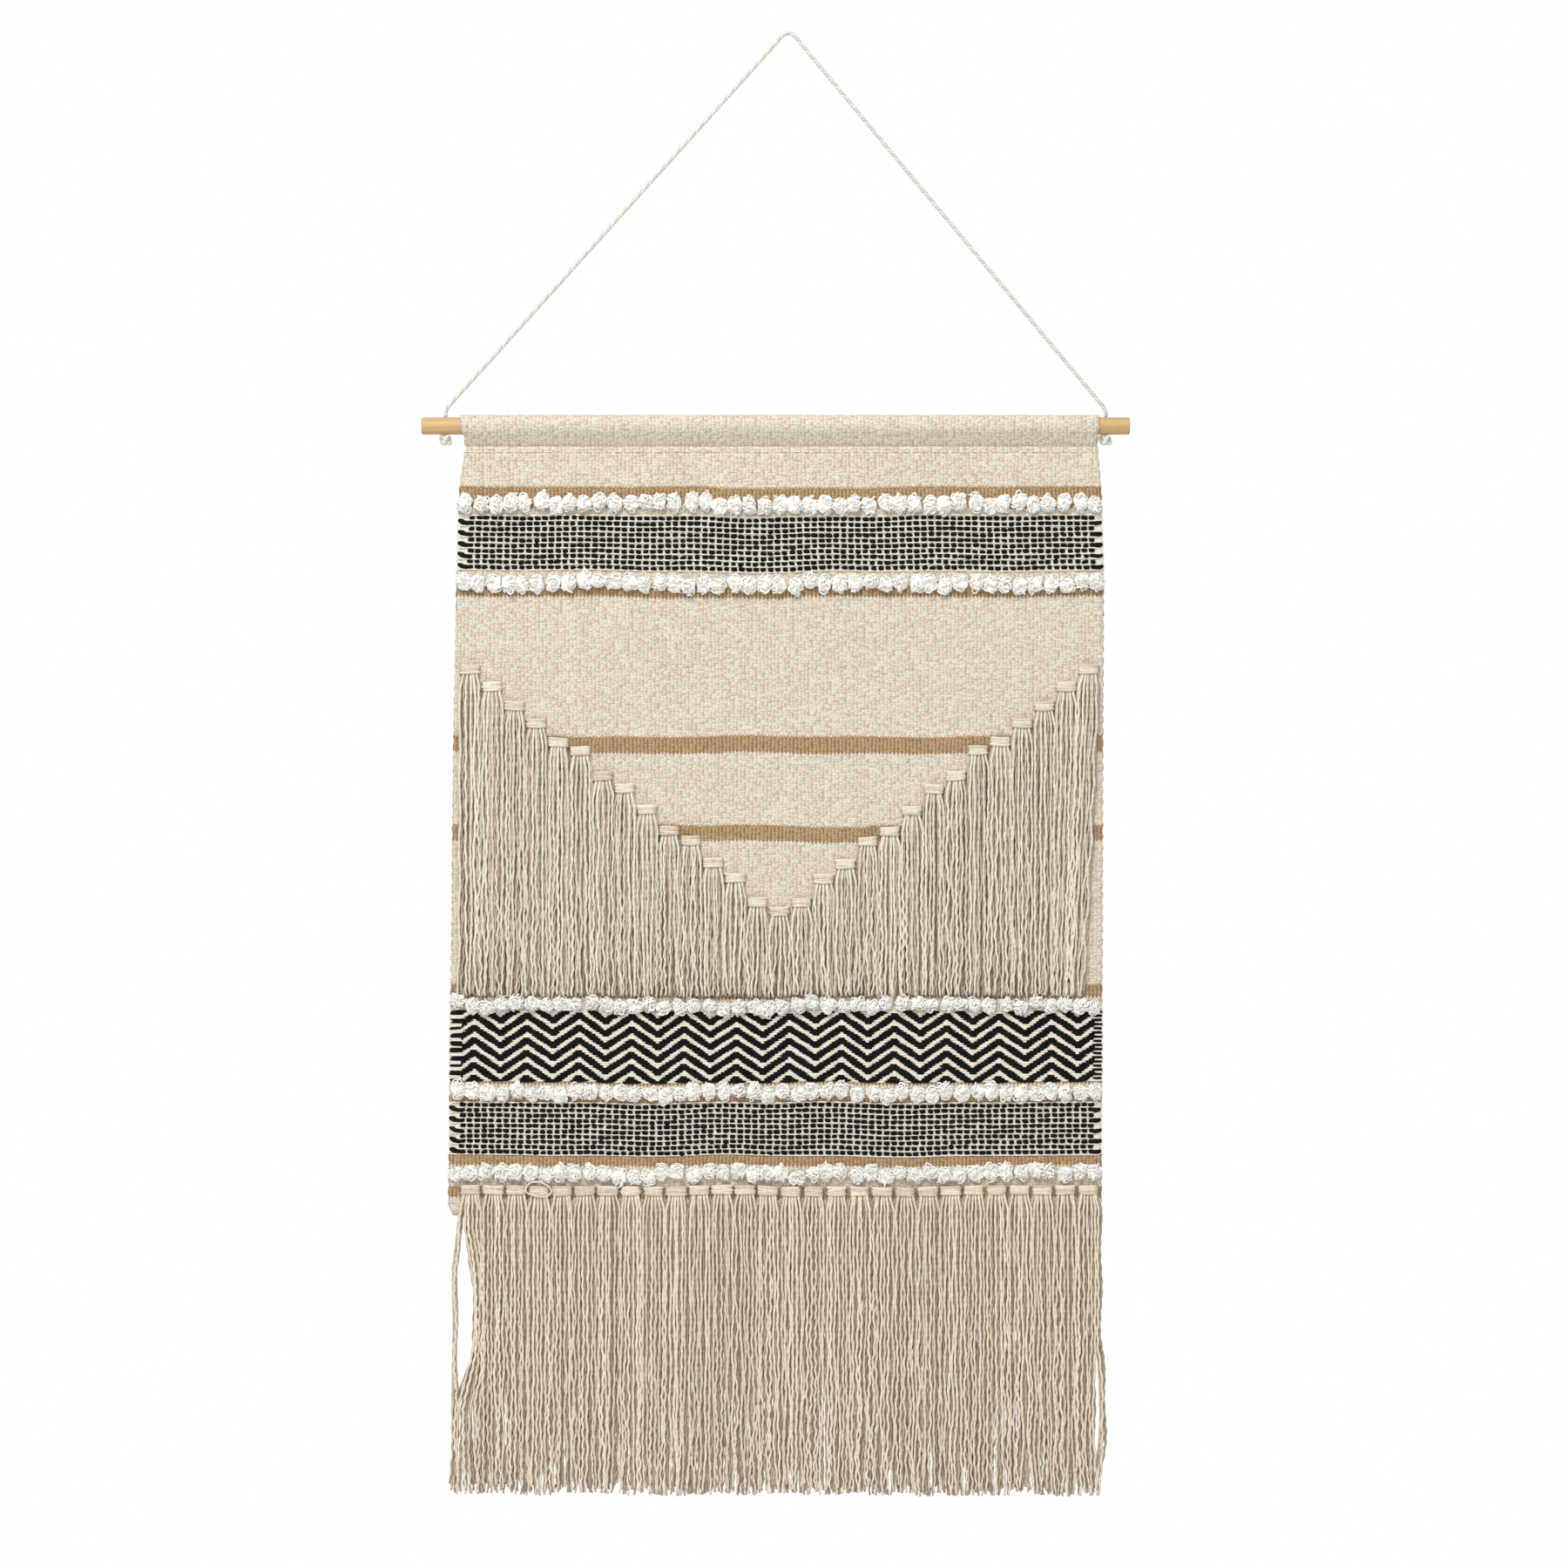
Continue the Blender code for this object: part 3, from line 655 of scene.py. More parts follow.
def strand_parts(x, top, low, pitch, fringe, sizes, rng, lean):
    """A tassel's strands, in three layers, the back one of thicker strands that sway less. Each
    runs from behind the head to its own end: below the head it moves from its place there to
    its place in the skirt, and a short and a long sine wave give the yarn its kinks."""
    across = fringe.across
    layer = np.repeat((0, 1, 2), (across + 1, across, across - 2))
    at_back = layer == 0
    place_in_layer = np.concatenate(
        [
            np.linspace(0.1, across - 0.7, across + 1),
            np.arange(across),
            np.linspace(0.2, across - 1.2, across - 2),
        ]
    )
    count = len(layer)
    each = (count, 1)
    length = top - (low - fringe.past) - STRAND_START
    along = np.linspace(0, 1, max(10, int(length / STRAND_STEP)))[None]
    astray = np.where(at_back, 0.05, 0.13)
    rank = (place_in_layer + 0.30 + 0.20 * layer + rng.normal(0, 1, count) * astray) / across
    short = (rng.uniform(0, 1, count) ** 2 * 0.7 + rng.uniform(0, 0.3)) * fringe.ragged
    reach = (length - short)[:, None] * along
    spread = smooth_step(np.clip(reach / 0.016, 0, 1))
    from_x = (rank - 0.5)[:, None] * fringe.head * IN_HEAD
    to_x = (rank - 0.5)[:, None] * pitch * fringe.skirt + rng.normal(0, 0.0003, each)
    kink = rng.uniform(0.0085, 0.0150, each)
    drift = rng.uniform(0.040, 0.095, each)

    def sway(least, most, run):
        """A sine wave along each strand that starts anywhere."""
        return rng.uniform(least, most, each) * np.sin(TURN * reach / run + rng.uniform(0, TURN, each))

    loose = np.clip(reach / 0.015, 0, 1)
    lower = (0.45 + 0.55 * np.clip(reach / length, 0, 1)) * np.where(at_back, 0.5, 1.0)[:, None]
    sway_x = loose * lower * (sway(0.00020, 0.00070, kink) + sway(0.0003, 0.0013, drift))
    sway_y = loose * sway(0.0001, 0.0004, kink * 1.2)
    flare = 0.0011 * rng.normal(0, 1, each) * along**5
    place_x = x + from_x + (to_x - from_x) * spread + sway_x + flare + lean(rank[:, None], along)
    out = np.clip(reach / 0.012, 0, 1)
    proud = 0.0010 + (fringe.deep - 0.0022) * (layer / 2)[:, None] * (0.25 + 0.75 * out) + sway_y
    drop = ROD_Z - top + reach
    sag, billow = hang(across_of(place_x, drop), drop)
    place_y = CLOTH_FRONT - np.maximum(proud, 0.0009) + billow
    place_z = top - STRAND_START - reach - sag * (1 - along)
    thick = rng.uniform(0.88, 1.12, each) + 0.34 * at_back[:, None]
    radii = sizes.strand * thick * (1 + 0.06 * np.sin(reach * 700 + 5 * rank[:, None]))
    radii = radii * (1 - 0.25 * along**12)
    # Painted shade: each layer starts from its own lowest tint, so the strands that show through the
    # front's gaps are darker. A random tone is added on top.
    tint = np.asarray(fringe.painted_layer_shade)[layer] + rng.uniform(0, 0.32, count)
    return tubes(np.stack([place_x, place_y, place_z], axis=-1), radii, 5, tint=tint)


def stray_loop(x, drop):
    """A slack end of yarn that lies in an oval over a head of the hem."""
    angle = TURN * np.arange(40) / 40
    wave = 1 + 0.06 * np.sin(3 * angle)
    share = across_of(x + 0.0094 * wave * np.cos(angle), drop)
    down = drop + 0.0052 * wave * np.sin(angle) + 0.001 * np.cos(angle)
    paths = on_cloth(share, down, 0.0052 + 0.0006 * np.sin(angle))
    return tubes(paths[None], 0.00062, 7, closed=True, tint=0.9)


def smooth_route(points, spacing):
    """Points about one spacing apart on the centripetal Catmull-Rom curve through the given
    ones: each span blends straight lines between four neighbours, by the square root of
    their distances."""
    given = np.asarray(points, float)
    given = np.concatenate([[2 * given[0] - given[1]], given, [2 * given[-1] - given[-2]]])
    share = (np.arange(24) / 24)[:, None]
    spans = []
    for a, b, c, d in zip(given, given[1:], given[2:], given[3:]):
        k1 = math.sqrt(np.linalg.norm(b - a))
        k2 = k1 + math.sqrt(np.linalg.norm(c - b))
        k3 = k2 + math.sqrt(np.linalg.norm(d - c))
        t = k1 + (k2 - k1) * share
        ab = a + (b - a) * t / k1
        bc = b + (c - b) * (t - k1) / (k2 - k1)
        cd = c + (d - c) * (t - k2) / (k3 - k2)
        abc, bcd = ab + (bc - ab) * t / k2, bc + (cd - bc) * (t - k1) / (k3 - k1)
        spans.append(abc + (bcd - abc) * (t - k1) / (k2 - k1))
    line = np.concatenate(spans + [given[-2:-1]])
    length = run_along(line)[-1]
    places = np.linspace(0, length, int(length / spacing) + 1)
    return points_at(line, places), length


def ply_parts(line, radius, pitch, plies):
    """Twisted cord: each ply winds around the line at half the cord's radius."""
    tangent = np.gradient(line, axis=0)
    side = unit(np.cross(tangent, np.broadcast_to((0.0, 1.0, 0.0), line.shape)))
    up = unit(np.cross(side, tangent))
    start = TURN * np.arange(plies)[:, None] / plies
    angle = ((TURN * run_along(line) / pitch)[None] + start)[..., None]
    paths = line[None] + radius * 0.5 * (np.cos(angle) * side[None] + np.sin(angle) * up[None])
    return tubes(paths, radius * 0.54, 7, tint=np.arange(plies) / plies)


CORD_ROUTE = (
    (-0.25180, 0.0, -0.28035),
    (-0.25180, 0.0, -0.27830),
    (-0.25125, 0.0, -0.27500),
    (-0.24900, 0.0, -0.27190),
    (-0.22000, 0.0, -0.23972),
    (-0.16500, 0.0, -0.17867),
    (-0.11000, 0.0, -0.11762),
    (-0.05500, 0.0, -0.05658),
    (-0.01500, 0.0, -0.01218),
    (-0.00445, 0.0, -0.00047),
    (-0.00244, 0.0, 0.00098),
    (0.00000, 0.0, 0.00150),
    (0.00250, 0.0, 0.00095),
    (0.00461, 0.0, -0.00066),
    (0.01500, 0.0, -0.01314),
    (0.05500, 0.0, -0.06119),
    (0.10500, 0.0, -0.12126),
    (0.15500, 0.0, -0.18132),
    (0.20500, 0.0, -0.24139),
    (0.23040, 0.0, -0.27190),
    (0.23265, 0.0, -0.27500),
    (0.23320, 0.0, -0.27830),
    (0.23320, 0.0, -0.28035),
)


def knot_parts(node):
    """A stopper knot: a trefoil, (sin t + 2 sin 2t, cos t - 2 cos 2t, -sin 3t), sized to the
    frame's knot, and the straight end of cord that fills the hole above it."""
    low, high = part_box(node)
    x, y = (low.x + high.x) / 2, (low.y + high.y) / 2
    under = ROD_Z - ROD_RADIUS
    middle = (low.z + under) / 2
    half = np.array([(high.x - low.x) / 2, (high.y - low.y) / 2, (under - low.z) / 2]) - CORD_RADIUS
    t = TURN * np.arange(96) / 96
    across, deep = np.sin(t) + 2 * np.sin(2 * t), np.cos(t) - 2 * np.cos(2 * t)
    shape = np.stack([across / 2.5, deep / 2.8, -np.sin(3 * t)], axis=1)
    path = np.array([x, y, middle]) + shape * half
    knot = tubes(path[None], CORD_RADIUS * 0.98, 10, reference=(0, 0, 1.0), closed=True)
    # The end is a hair thinner than the hole's cord and starts inside the knot.
    stem = np.stack([np.full(12, x), np.full(12, y), np.linspace(under - 0.0010, high.z, 12)], axis=1)
    return [knot, tubes(stem[None], CORD_RADIUS * 0.97, 12)]


# ---------------------------------------------------------------- materials


def add(tree, kind, links=(), values=(), **settings):
    """Adds one shader node with its settings, its own input values and its links."""
    node = tree.nodes.new("ShaderNode" + kind)
    for name, value in settings.items():
        setattr(node, name, value)
    for key, value in dict(values).items():
        node.inputs[key].default_value = value
    for key, socket in dict(links).items():
        tree.links.new(socket, node.inputs[key])
    return node


def start_material(name, roughness, sheen, specular=0.2):
    """A material with its Principled shader; values that don't vary are set on its sockets."""
    made = bpy.data.materials.new(name)
    made.use_nodes = True
    shader = made.node_tree.nodes["Principled BSDF"]
    shader.inputs["Roughness"].default_value = roughness
    shader.inputs["Metallic"].default_value = 0.0
    shader.inputs["Specular IOR Level"].default_value = specular
    shader.inputs["Sheen Weight"].default_value = sheen
    shader.inputs["Sheen Roughness"].default_value = 0.6
    return made, made.node_tree, shader


def maths(tree, operation, first, second=None, third=None):
    """Output of a Math node; its inputs are sockets or plain numbers."""
    node = add(tree, "Math", operation=operation)
    for key, value in enumerate((first, second, third)):
        if value is None:
            continue
        if isinstance(value, (int, float)):
            node.inputs[key].default_value = value
        else:
            tree.links.new(value, node.inputs[key])
    return node.outputs[0]


def mix(tree, factor, first, second):
    """Output of a colour mix; a colour is a socket or three linear numbers."""
    node = add(tree, "Mix", data_type="RGBA")
    for key, value in ((0, factor), (6, first), (7, second)):
        if isinstance(value, bpy.types.NodeSocket):
            tree.links.new(value, node.inputs[key])
        elif key == 0:
            node.inputs[key].default_value = value
        else:
            node.inputs[key].default_value = (*value, 1.0)
    return node.outputs[2]


def finish_surface(tree, shader, colour, height, strength, distance):
    """Links a colour and a bump made from a height to the shader."""
    bump = add(tree, "Bump", {"Height": height}, {"Strength": strength, "Distance": distance})
    tree.links.new(colour, shader.inputs["Base Color"])
    tree.links.new(bump.outputs[0], shader.inputs["Normal"])


def noise(tree, place, scale, detail, roughness=0.5):
    """A cloudy value from 0 to 1 whose clouds are about one over the scale across."""
    values = {"Scale": scale, "Detail": detail, "Roughness": roughness}
    return add(tree, "TexNoise", {"Vector": place}, values).outputs["Fac"]


def vary(tree, cloudy, amount, base):
    """A base changed by an amount of a value that runs from 0 to 1, taken from its middle."""
    return maths(tree, "MULTIPLY_ADD", maths(tree, "SUBTRACT", cloudy, 0.5), amount, base)


def within(tree, drop, bands):
    """One inside any of the bands of depth, nothing elsewhere."""
    mask = 0.0
    for high, low in bands:
        inside = maths(tree, "COMPARE", drop, (high + low) / 2, (low - high) / 2)
        mask = maths(tree, "MAXIMUM", mask, inside)
    return mask


def cloth_material(sizes, colours):
    """Undyed cotton, handwoven with a weft face: small beads of weft in rows, brown stripes,
    brighter ground in the black bands, seed flecks and a dry, fuzzy surface."""
    made, tree, shader = start_material("handwoven_undyed_cotton", 0.92, 0.12)
    place = add(tree, "UVMap", uv_map="thread").outputs[0]
    # Uneven hand beating moves the threads by up to a millimetre over a few centimetres.
    uneven = maths(tree, "SUBTRACT", noise(tree, place, 45.0, 3.0), 0.5)
    shift = maths(tree, "MULTIPLY", uneven, 0.0022)
    split = add(tree, "SeparateXYZ", {"Vector": place})
    x = maths(tree, "ADD", split.outputs[0], shift)
    drop = maths(tree, "ADD", split.outputs[1], shift)
    # Beads of weft lie between the warps in rows; each is a cell of its own with its own tone.
    column = maths(tree, "DIVIDE", x, sizes.warp_pitch)
    row = maths(tree, "DIVIDE", drop, sizes.pick_pitch)
    cells = add(tree, "CombineXYZ", {0: column, 1: row}).outputs[0]
    scatter = {"Scale": 1.0, "Randomness": 0.62}
    bead = add(tree, "TexVoronoi", {"Vector": cells}, scatter, voronoi_dimensions="2D")
    domed = maths(tree, "MULTIPLY_ADD", bead.outputs["Distance"], -1.15, 0.98)
    tone = add(tree, "SeparateColor", {"Color": bead.outputs["Color"]}).outputs[0]
    warp = maths(tree, "SINE", maths(tree, "MULTIPLY", x, TURN / sizes.warp_pitch))
    # Fuzz, about a millimetre across, and the cloudiness of hand-spun yarn, about two centimetres
    fuzz = noise(tree, place, 1150.0, 2.0)
    cloud = noise(tree, place, 55.0, 2.0)
    # Painted light and shade: each bead is lighter in its middle and darker at its edges, and the warp's
    # ribs are faintly lit and shaded. The bead's tone, the fuzz and the cloud are the yarn's own tone.
    shade = vary(tree, tone, 0.40, domed)
    shade = vary(tree, fuzz, 2.0, shade)
    shade = maths(tree, "MULTIPLY_ADD", warp, 0.06, shade)
    shade = vary(tree, cloud, 0.3, shade)
    # Painted light and shade on the brown's ribs, stronger than on the cream.
    rib_shade_and_tone = maths(tree, "MULTIPLY_ADD", warp, 0.27, shade)
    ground = mix(tree, shade, colours.cream_dark_and_shade, colours.cream)
    brown = mix(tree, rib_shade_and_tone, colours.brown_dark_and_shade, colours.brown)
    # A stripe's edge steps with the beads of weft.
    toothed = maths(tree, "MULTIPLY_ADD", warp, 0.0007, drop)
    fleck = maths(tree, "GREATER_THAN", noise(tree, place, 520.0, 1.0), 0.70)
    colour = mix(tree, maths(tree, "MULTIPLY", fleck, 0.6), ground, colours.fleck)
    colour = mix(tree, within(tree, toothed, BROWN_STRIPES), colour, brown)
    bright = within(tree, drop, (UPPER_DOTS, LOWER_DOTS, CHEVRONS))
    colour = mix(tree, maths(tree, "MULTIPLY", bright, 0.8), colour, colours.bright_cream)
    height = maths(tree, "MULTIPLY_ADD", fuzz, 0.5, maths(tree, "MULTIPLY_ADD", warp, 0.12, domed))
    finish_surface(tree, shader, colour, height, 0.6, 0.0007)
    return made


def yarn_material(name, light, dark, roughness=0.9, sheen=0.2, twist=0.0042, strength=0.4):
    """Spun yarn, made the first time that it is asked for: two plies wound around each other,
    so a slanting groove runs along it, each length a little lighter or darker than the next."""
    if name in bpy.data.materials:
        return bpy.data.materials[name]
    made, tree, shader = start_material(name, roughness, sheen)
    place = add(tree, "UVMap", uv_map="thread").outputs[0]
    split = add(tree, "SeparateXYZ", {"Vector": place})
    around = maths(tree, "MULTIPLY", split.outputs[0], TURN)
    along = maths(tree, "MULTIPLY", split.outputs[1], TURN / twist)
    ply = maths(tree, "SINE", maths(tree, "ADD", around, along))
    tint = add(tree, "Attribute", attribute_name="tint").outputs["Fac"]
    # Slubs of 6 to 8 mm follow each length of yarn.
    own = maths(tree, "MULTIPLY", tint, 37.0)
    down = maths(tree, "MULTIPLY", split.outputs[1], 140.0)
    slub = noise(tree, add(tree, "CombineXYZ", {0: own, 1: down}).outputs[0], 1.0, 2.0)
    # Painted shade: the ply's groove is a little darker. The tint and the slubs are the yarn's own tone; on
    # the tassels' strands the tint also carries the painted shade of their layer.
    shade = vary(tree, slub, 0.7, maths(tree, "MULTIPLY_ADD", ply, 0.07, tint))
    colour = mix(tree, shade, dark, light)
    height = maths(tree, "MULTIPLY_ADD", slub, 0.6, ply)
    finish_surface(tree, shader, colour, height, strength, 0.0003)
    return made


def wood_material(colours):
    """Pale birch, turned and sanded: fine straight grain along its length, and pores."""
    made, tree, shader = start_material("sanded_birch", 0.5, 0.0, 0.35)
    where = add(tree, "TexCoord").outputs["Object"]
    stretched = add(tree, "Mapping", {"Vector": where}, {"Scale": (14.0, 420.0, 420.0)}).outputs[0]
    grain = noise(tree, stretched, 1.0, 4.0, 0.6)
    pores = add(tree, "Mapping", {"Vector": where}, {"Scale": (90.0, 1900.0, 1900.0)}).outputs[0]
    line = vary(tree, noise(tree, pores, 1.0, 1.0), 0.5, grain)
    line = add(tree, "MapRange", {"Value": line}, {"From Min": 0.32, "From Max": 0.68}).outputs[0]
    colour = mix(tree, line, colours.wood_dark, colours.wood)
    finish_surface(tree, shader, colour, line, 0.12, 0.0002)
    return made


def stage_material(colours):
    """Matt painted board, with a faint roller texture."""
    made, tree, shader = start_material("matt_painted_board", 0.85, 0.0)
    where = add(tree, "TexCoord").outputs["Object"]
    grain = noise(tree, where, 300.0, 2.0)
    colour = mix(tree, maths(tree, "MULTIPLY", grain, 0.04), colours.stage, FLOOR_LOW)
    finish_surface(tree, shader, colour, grain, 0.05, 0.0005)
    return made


def band_materials(colours):
    """Black and bright weft, in the order of the slots of the bands' parts."""
    return [
        yarn_material("black_dyed_wool", colours.black_worn, colours.black, 0.85, 0.0),
        yarn_material("bleached_cotton_weft", colours.bright_cream, colours.cream),
    ]


# ---------------------------------------------------------------- operators


class HANGING_OT_cord(bpy.types.Operator):
    """Twisted hanging cord with its two stopper knots"""

    bl_idname = "hanging.cord"
    bl_label = "Cord and knots"
    bl_options = {"REGISTER", "UNDO"}

    def execute(self, context):
        sizes, colours = context.scene.hanging_sizes, context.scene.hanging_colours
        look = yarn_material("twisted_cotton_cord", colours.cord, colours.cord_dark, 0.9, 0.15, 0.0030)
        line, length = smooth_route(CORD_ROUTE, 0.0011)
        parts = [ply_parts(line, CORD_RADIUS, sizes.cord_pitch, CORD_PLIES)]
        cord = build("twisted_cord", parts, [look], None, ["hanging_cord"])
        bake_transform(cord)
        for node in ("cord_knot_left", "cord_knot_right"):
            name = node.replace("cord", "tied")
            build(name, knot_parts(node), [look], "dowel", [node])
        return {"FINISHED"}


class HANGING_OT_dowel(bpy.types.Operator):
    """Wood finish of the dowel"""

    bl_idname = "hanging.dowel"
    bl_label = "Dowel"
    bl_options = {"REGISTER", "UNDO"}

    def execute(self, context):
        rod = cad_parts["dowel_rod"]
        rod.data.materials.clear()
        rod.data.materials.append(wood_material(context.scene.hanging_colours))
        return {"FINISHED"}


class HANGING_OT_cloth(bpy.types.Operator):
    """Woven cloth with its rod pocket, and the stitches of the seam"""

    bl_idname = "hanging.cloth"
    bl_label = "Cloth"
    bl_options = {"REGISTER", "UNDO"}

    def execute(self, context):
        sizes, colours = context.scene.hanging_sizes, context.scene.hanging_colours
        look, thread = cloth_material(sizes, colours), band_materials(colours)[1]
        shell, seam = [cloth_shell(sizes)], self.stitches(sizes)
        cloth = build("cloth_panel", shell, [look], "panel", ["woven_panel"])
        stitches = build("seam_stitches", seam, [thread], "panel", ["pocket_stitching"])
        return {"FINISHED"}

    def stitches(self, sizes):
        """Running stitches: short threads bowed out by one less the square of the place along
        them, whose ends go into the cloth. Their half length is a share of the cloth's width."""
        rng = np.random.default_rng(11)
        middle = (np.arange(STITCHES) + 0.5) / STITCHES
        place = np.linspace(-1, 1, 6)
        share = middle[:, None] + HALF_STITCH * place
        drop = sizes.seam_drop + STITCH_DROP + rng.normal(0, 0.0002, (STITCHES, 1)) + 0 * place
        paths = on_cloth(share, drop, 0.0001 + 0.0004 * (1 - place**2))
        return [tubes(paths, THREAD_RADIUS, 5, tint=rng.random(STITCHES))]


class HANGING_OT_dots(bpy.types.Operator):
    """Two bands of black floats on bright weft"""

    bl_idname = "hanging.dots"
    bl_label = "Dotted bands"
    bl_options = {"REGISTER", "UNDO"}

    def execute(self, context):
        sizes, colours = context.scene.hanging_sizes, context.scene.hanging_colours
        looks = band_materials(colours)
        for number, band in enumerate((UPPER_DOTS, LOWER_DOTS), start=1):
            rng = np.random.default_rng(20 + number)
            rows = int(round((band[1] - band[0]) / sizes.dot_row))
            parts = []
            for back in (0.0, sizes.cloth):
                parts += black_float_rows(band, rows, sizes, rng, back)
                parts.append(ground_ridges(band, rows, rng, back))
            build("dotted_band_%d" % number, parts, looks, "panel", ())
        return {"FINISHED"}


class HANGING_OT_chevrons(bpy.types.Operator):
    """Band of chevrons in three and three twill"""

    bl_idname = "hanging.chevrons"
    bl_label = "Chevron band"
    bl_options = {"REGISTER", "UNDO"}

    def execute(self, context):
        sizes, colours = context.scene.hanging_sizes, context.scene.hanging_colours
        rng = np.random.default_rng(31)
        parts = chevron_parts(CHEVRONS, sizes, rng) + chevron_parts(CHEVRONS, sizes, rng, sizes.cloth)
        build("chevron_band", parts, band_materials(colours), "panel", ())
        return {"FINISHED"}


class HANGING_OT_loops(bpy.types.Operator):
    """Five rows of curled white loops"""

    bl_idname = "hanging.loops"
    bl_label = "Looped rows"
    bl_options = {"REGISTER", "UNDO"}

    def execute(self, context):
        sizes, colours = context.scene.hanging_sizes, context.scene.hanging_colours
        look = yarn_material("bleached_loop_yarn", colours.white, colours.white_low, 0.95, 0.1, 0.0030, 0.3)
        for number in range(1, ROW_COUNT + 1):
            rng = np.random.default_rng(40 + number)
            name, node = "looped_pile_%d" % number, "loop_row_%d" % number
            parts = loop_cluster_parts(number, sizes, rng)
            build(name, parts, [look], "panel", [node])
        return {"FINISHED"}


class HANGING_OT_v_tassels(bpy.types.Operator):
    """Tassels of the V across the cloth"""

    bl_idname = "hanging.v_tassels"
    bl_label = "V of tassels"
    bl_options = {"REGISTER", "UNDO"}

    def execute(self, context):
        sizes, colours = context.scene.hanging_sizes, context.scene.hanging_colours
        strands = yarn_material("grey_cream_cotton_strands", colours.strand_light, colours.strand_dark_and_shade)
        heads = yarn_material("cream_cotton_wraps", colours.cream, colours.cream_dark_and_shade)
        for number, node in enumerate(V_NAMES, start=1):
            rng = np.random.default_rng(100 + number)
            low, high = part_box(node)
            x = (low.x + high.x) / 2
            # The last two on the right lean in and leave the selvedge bare.
            lean = {28: -0.005, 29: -0.011}.get(number, 0.0)

            def shift(rank, along):
                return lean * along

            strand = strand_parts(x, high.z, low.z, V_PITCH, V_FRINGE, sizes, rng, shift)
            parts = [strand, head_parts(x, high.z, V_HEAD_WIDTH, sizes, rng)]
            piece = build("strands_" + node, parts, [strands, heads], None, [node])
            bend_with(piece)
        return {"FINISHED"}


class HANGING_OT_hem_tassels(bpy.types.Operator):
    """Fringe of tassels at the hem"""

    bl_idname = "hanging.hem_tassels"
    bl_label = "Hem fringe"
    bl_options = {"REGISTER", "UNDO"}

    def execute(self, context):
        sizes, colours = context.scene.hanging_sizes, context.scene.hanging_colours
        strands = yarn_material("beige_cotton_strands", colours.hem_light, colours.hem_dark_and_shade)
        heads = yarn_material("beige_cotton_wraps", colours.hem_light, colours.wraps_dark)
        for number, node in enumerate(HEM_NAMES, start=1):
            low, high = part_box(node)
            middle, pitch = (low.x + high.x) / 2, (high.x - low.x + HEM_GAP) / 2
            parts = []
            for side in (-1, 1):
                rng = np.random.default_rng(200 + 2 * number + (side > 0))
                x = middle + side * pitch / 2
                lean = self.lean(number, side, rng)
                parts.append(strand_parts(x, high.z, low.z, pitch, HEM_FRINGE, sizes, rng, lean))
                parts.append(head_parts(x, high.z, rng.uniform(*HEM_HEAD_WIDTHS), sizes, rng))
            if number == 2:
                parts.append(stray_loop(middle + pitch / 2, ROD_Z - high.z + 0.0020))
            piece = build("strands_" + node, parts, [strands, heads], None, [node])
            bend_with(piece)
        return {"FINISHED"}

    def lean(self, number, side, rng):
        """How a tassel's strands stray sideways: a small lean and a drawing together at the
        foot. At the two ends of the hem a thin bundle hangs apart from the rest, with a gap
        beside it that opens and closes again."""
        tilt = rng.normal(0, 0.0009)
        gather = rng.uniform(-0.04, 0.16) * 0.0168
        first, last = number == 1 and side < 0, number == len(HEM_NAMES) and side > 0

        def shift(rank, along):
            stray = 0.0
            # On the left the outer quarter swings out and the rest first in, then back to it.
            if first:
                hump = np.sin(math.pi * np.clip((along - 0.14) / 0.58, 0, 1)) ** 0.8
                late = np.clip((along - 0.50) / 0.20, 0, 1)
                inner = 0.0085 * hump * (1 - 0.75 * rank) - 0.0092 * (1 - rank) * smooth_step(late)
                outer = -0.0045 * np.clip((along - 0.06) / 0.20, 0, 1) - 0.0020 * along
                stray = np.where(rank < 0.24, outer, inner)
            # On the right the outer sixth and the rest part low down and meet at the foot.
            if last:
                hump = np.sin(math.pi * np.clip((along - 0.50) / 0.48, 0, 1))
                stray = np.where(rank > 0.82, 0.0034 * hump, -0.0016 * hump)
            return tilt * along - gather * (rank - 0.5) * along**3 + stray

        return shift


def bend_with(piece):
    """Moves the piece's placement into its points and leaves the piece at the origin."""
    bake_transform(piece)


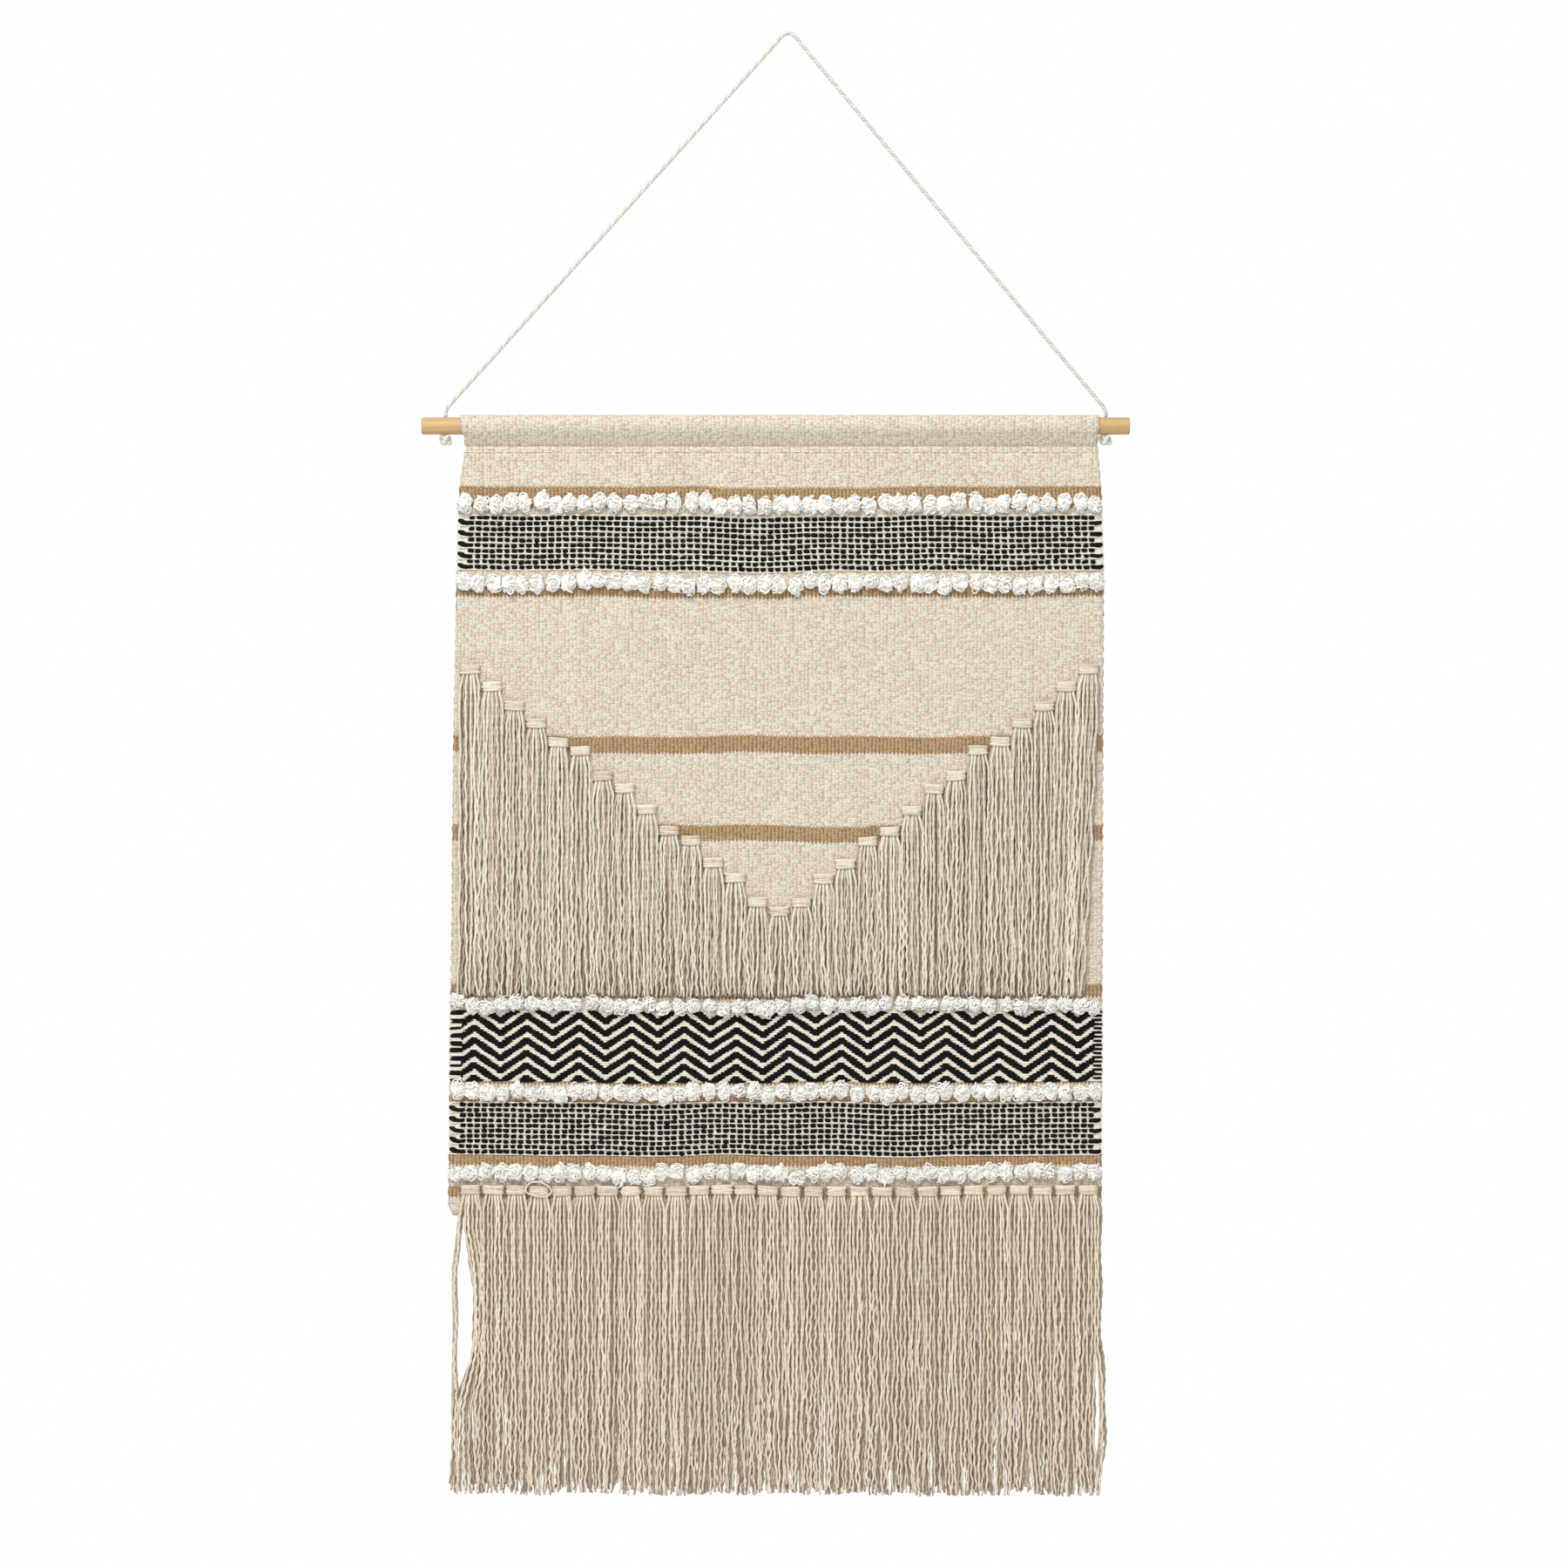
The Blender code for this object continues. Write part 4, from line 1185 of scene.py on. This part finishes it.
class HANGING_OT_stage(bpy.types.Operator):
    """Pale floor, soft light and the camera"""

    bl_idname = "hanging.stage"
    bl_label = "Stage"
    bl_options = {"REGISTER", "UNDO"}

    def execute(self, context):
        self.floor(context.scene.hanging_colours)
        self.lights()
        self.camera()
        return {"FINISHED"}

    def floor(self, colours):
        """A round floor well below the hanging: rings of points around its middle."""
        sides = 96
        angle = TURN * np.arange(sides) / sides
        circle = np.stack([np.cos(angle), np.sin(angle), np.zeros(sides)], axis=1)
        points = np.concatenate([radius * circle for radius in (0.02, FLOOR_RADIUS)])
        points[:, 2] = FLOOR_Z
        inner = np.arange(sides)
        around = strip(inner, inner + sides, np.roll(inner, -1) + sides, np.roll(inner, -1))
        part = {
            "points": points,
            "faces": [around, inner[None]],
            "uvs": [np.zeros((sides, 4, 2)), np.zeros((1, sides, 2))],
            "tint": np.zeros(len(points)),
            "slot": 0,
        }
        build("floor", [part], [stage_material(colours)])

    def lights(self):
        """Even light from all round, brighter to the camera, and one broad soft light."""
        world = bpy.data.worlds.new("studio")
        world.use_nodes = True
        tree = world.node_tree
        back = tree.nodes["Background"]
        back.inputs["Color"].default_value = (1, 1, 1, 1)
        back.inputs["Strength"].default_value = 0.52
        seen = add(tree, "Background", (), {"Color": (1, 1, 1, 1), "Strength": 1.0})
        ray = add(tree, "LightPath")
        to_camera = ray.outputs["Is Camera Ray"]
        both = add(tree, "MixShader", {0: to_camera, 1: back.outputs[0], 2: seen.outputs[0]})
        tree.links.new(both.outputs[0], tree.nodes["World Output"].inputs["Surface"])
        bpy.context.scene.world = world
        bpy.context.scene.view_settings.view_transform = "Standard"
        # Name, place, width in metres and power in watts of each lamp
        for name, place, size, power in (
            ("key", (-0.9, -2.4, 1.9), 1.5, 88.0),
            ("fill", (1.6, -2.8, 0.6), 2.2, 7.0),
            ("rear", (1.7, 2.9, 0.6), 2.2, 26.0),
        ):
            lamp = bpy.data.lights.new(name, "AREA")
            lamp.size = size
            lamp.energy = power
            light = bpy.data.objects.new(name, lamp)
            light.location = place
            light.visible_camera = False
            light.rotation_euler = self.towards(np.array(place), np.array([ROD_X, 0.0, -0.60]))
            bpy.context.scene.collection.objects.link(light)

    def towards(self, place, target):
        """Turn that points a light's or camera's -Z axis from a place to a target."""
        from_z = Vector(place - target)
        return from_z.to_track_quat("Z", "Y").to_euler()

    def camera(self):
        """Straight in front, from four metres, so that the hanging keeps its true outline."""
        lens = bpy.data.cameras.new("front")
        lens.type = "PERSP"
        lens.sensor_width = SENSOR
        lens.lens = SENSOR * CAMERA_DISTANCE / VIEW_WIDTH
        view = bpy.data.objects.new("front", lens)
        view.location = (ROD_X + 0.0061, -CAMERA_DISTANCE, ROD_Z - 0.263)
        view.rotation_euler = (math.pi / 2, 0, 0)
        bpy.context.scene.collection.objects.link(view)
        bpy.context.scene.camera = view


class HANGING_PT_steps(bpy.types.Panel):
    """Lists the steps and the sizes and colours that they use"""

    bl_label = "Wall hanging"
    bl_space_type = "VIEW_3D"
    bl_region_type = "UI"
    bl_category = "Hanging"

    def draw(self, context):
        for step in STEPS:
            self.layout.operator(step.bl_idname)
        for group in (context.scene.hanging_sizes, context.scene.hanging_colours):
            for name in group.__annotations__:
                self.layout.prop(group, name)


STEPS = (
    HANGING_OT_stage,
    HANGING_OT_cord,
    HANGING_OT_dowel,
    HANGING_OT_cloth,
    HANGING_OT_dots,
    HANGING_OT_chevrons,
    HANGING_OT_loops,
    HANGING_OT_v_tassels,
    HANGING_OT_hem_tassels,
)
CLASSES = (HangingSizes, HangingColours, *STEPS, HANGING_PT_steps)


def register():
    for each in CLASSES:
        bpy.utils.register_class(each)
    bpy.types.Scene.hanging_sizes = bpy.props.PointerProperty(type=HangingSizes)
    bpy.types.Scene.hanging_colours = bpy.props.PointerProperty(type=HangingColours)


def unregister():
    del bpy.types.Scene.hanging_colours
    del bpy.types.Scene.hanging_sizes
    for each in reversed(CLASSES):
        bpy.utils.unregister_class(each)


def main():
    """Runs every step in order."""
    register()
    for step in STEPS:
        group, name = step.bl_idname.split(".")
        getattr(getattr(bpy.ops, group), name)()


if __name__ == "__main__":
    main()
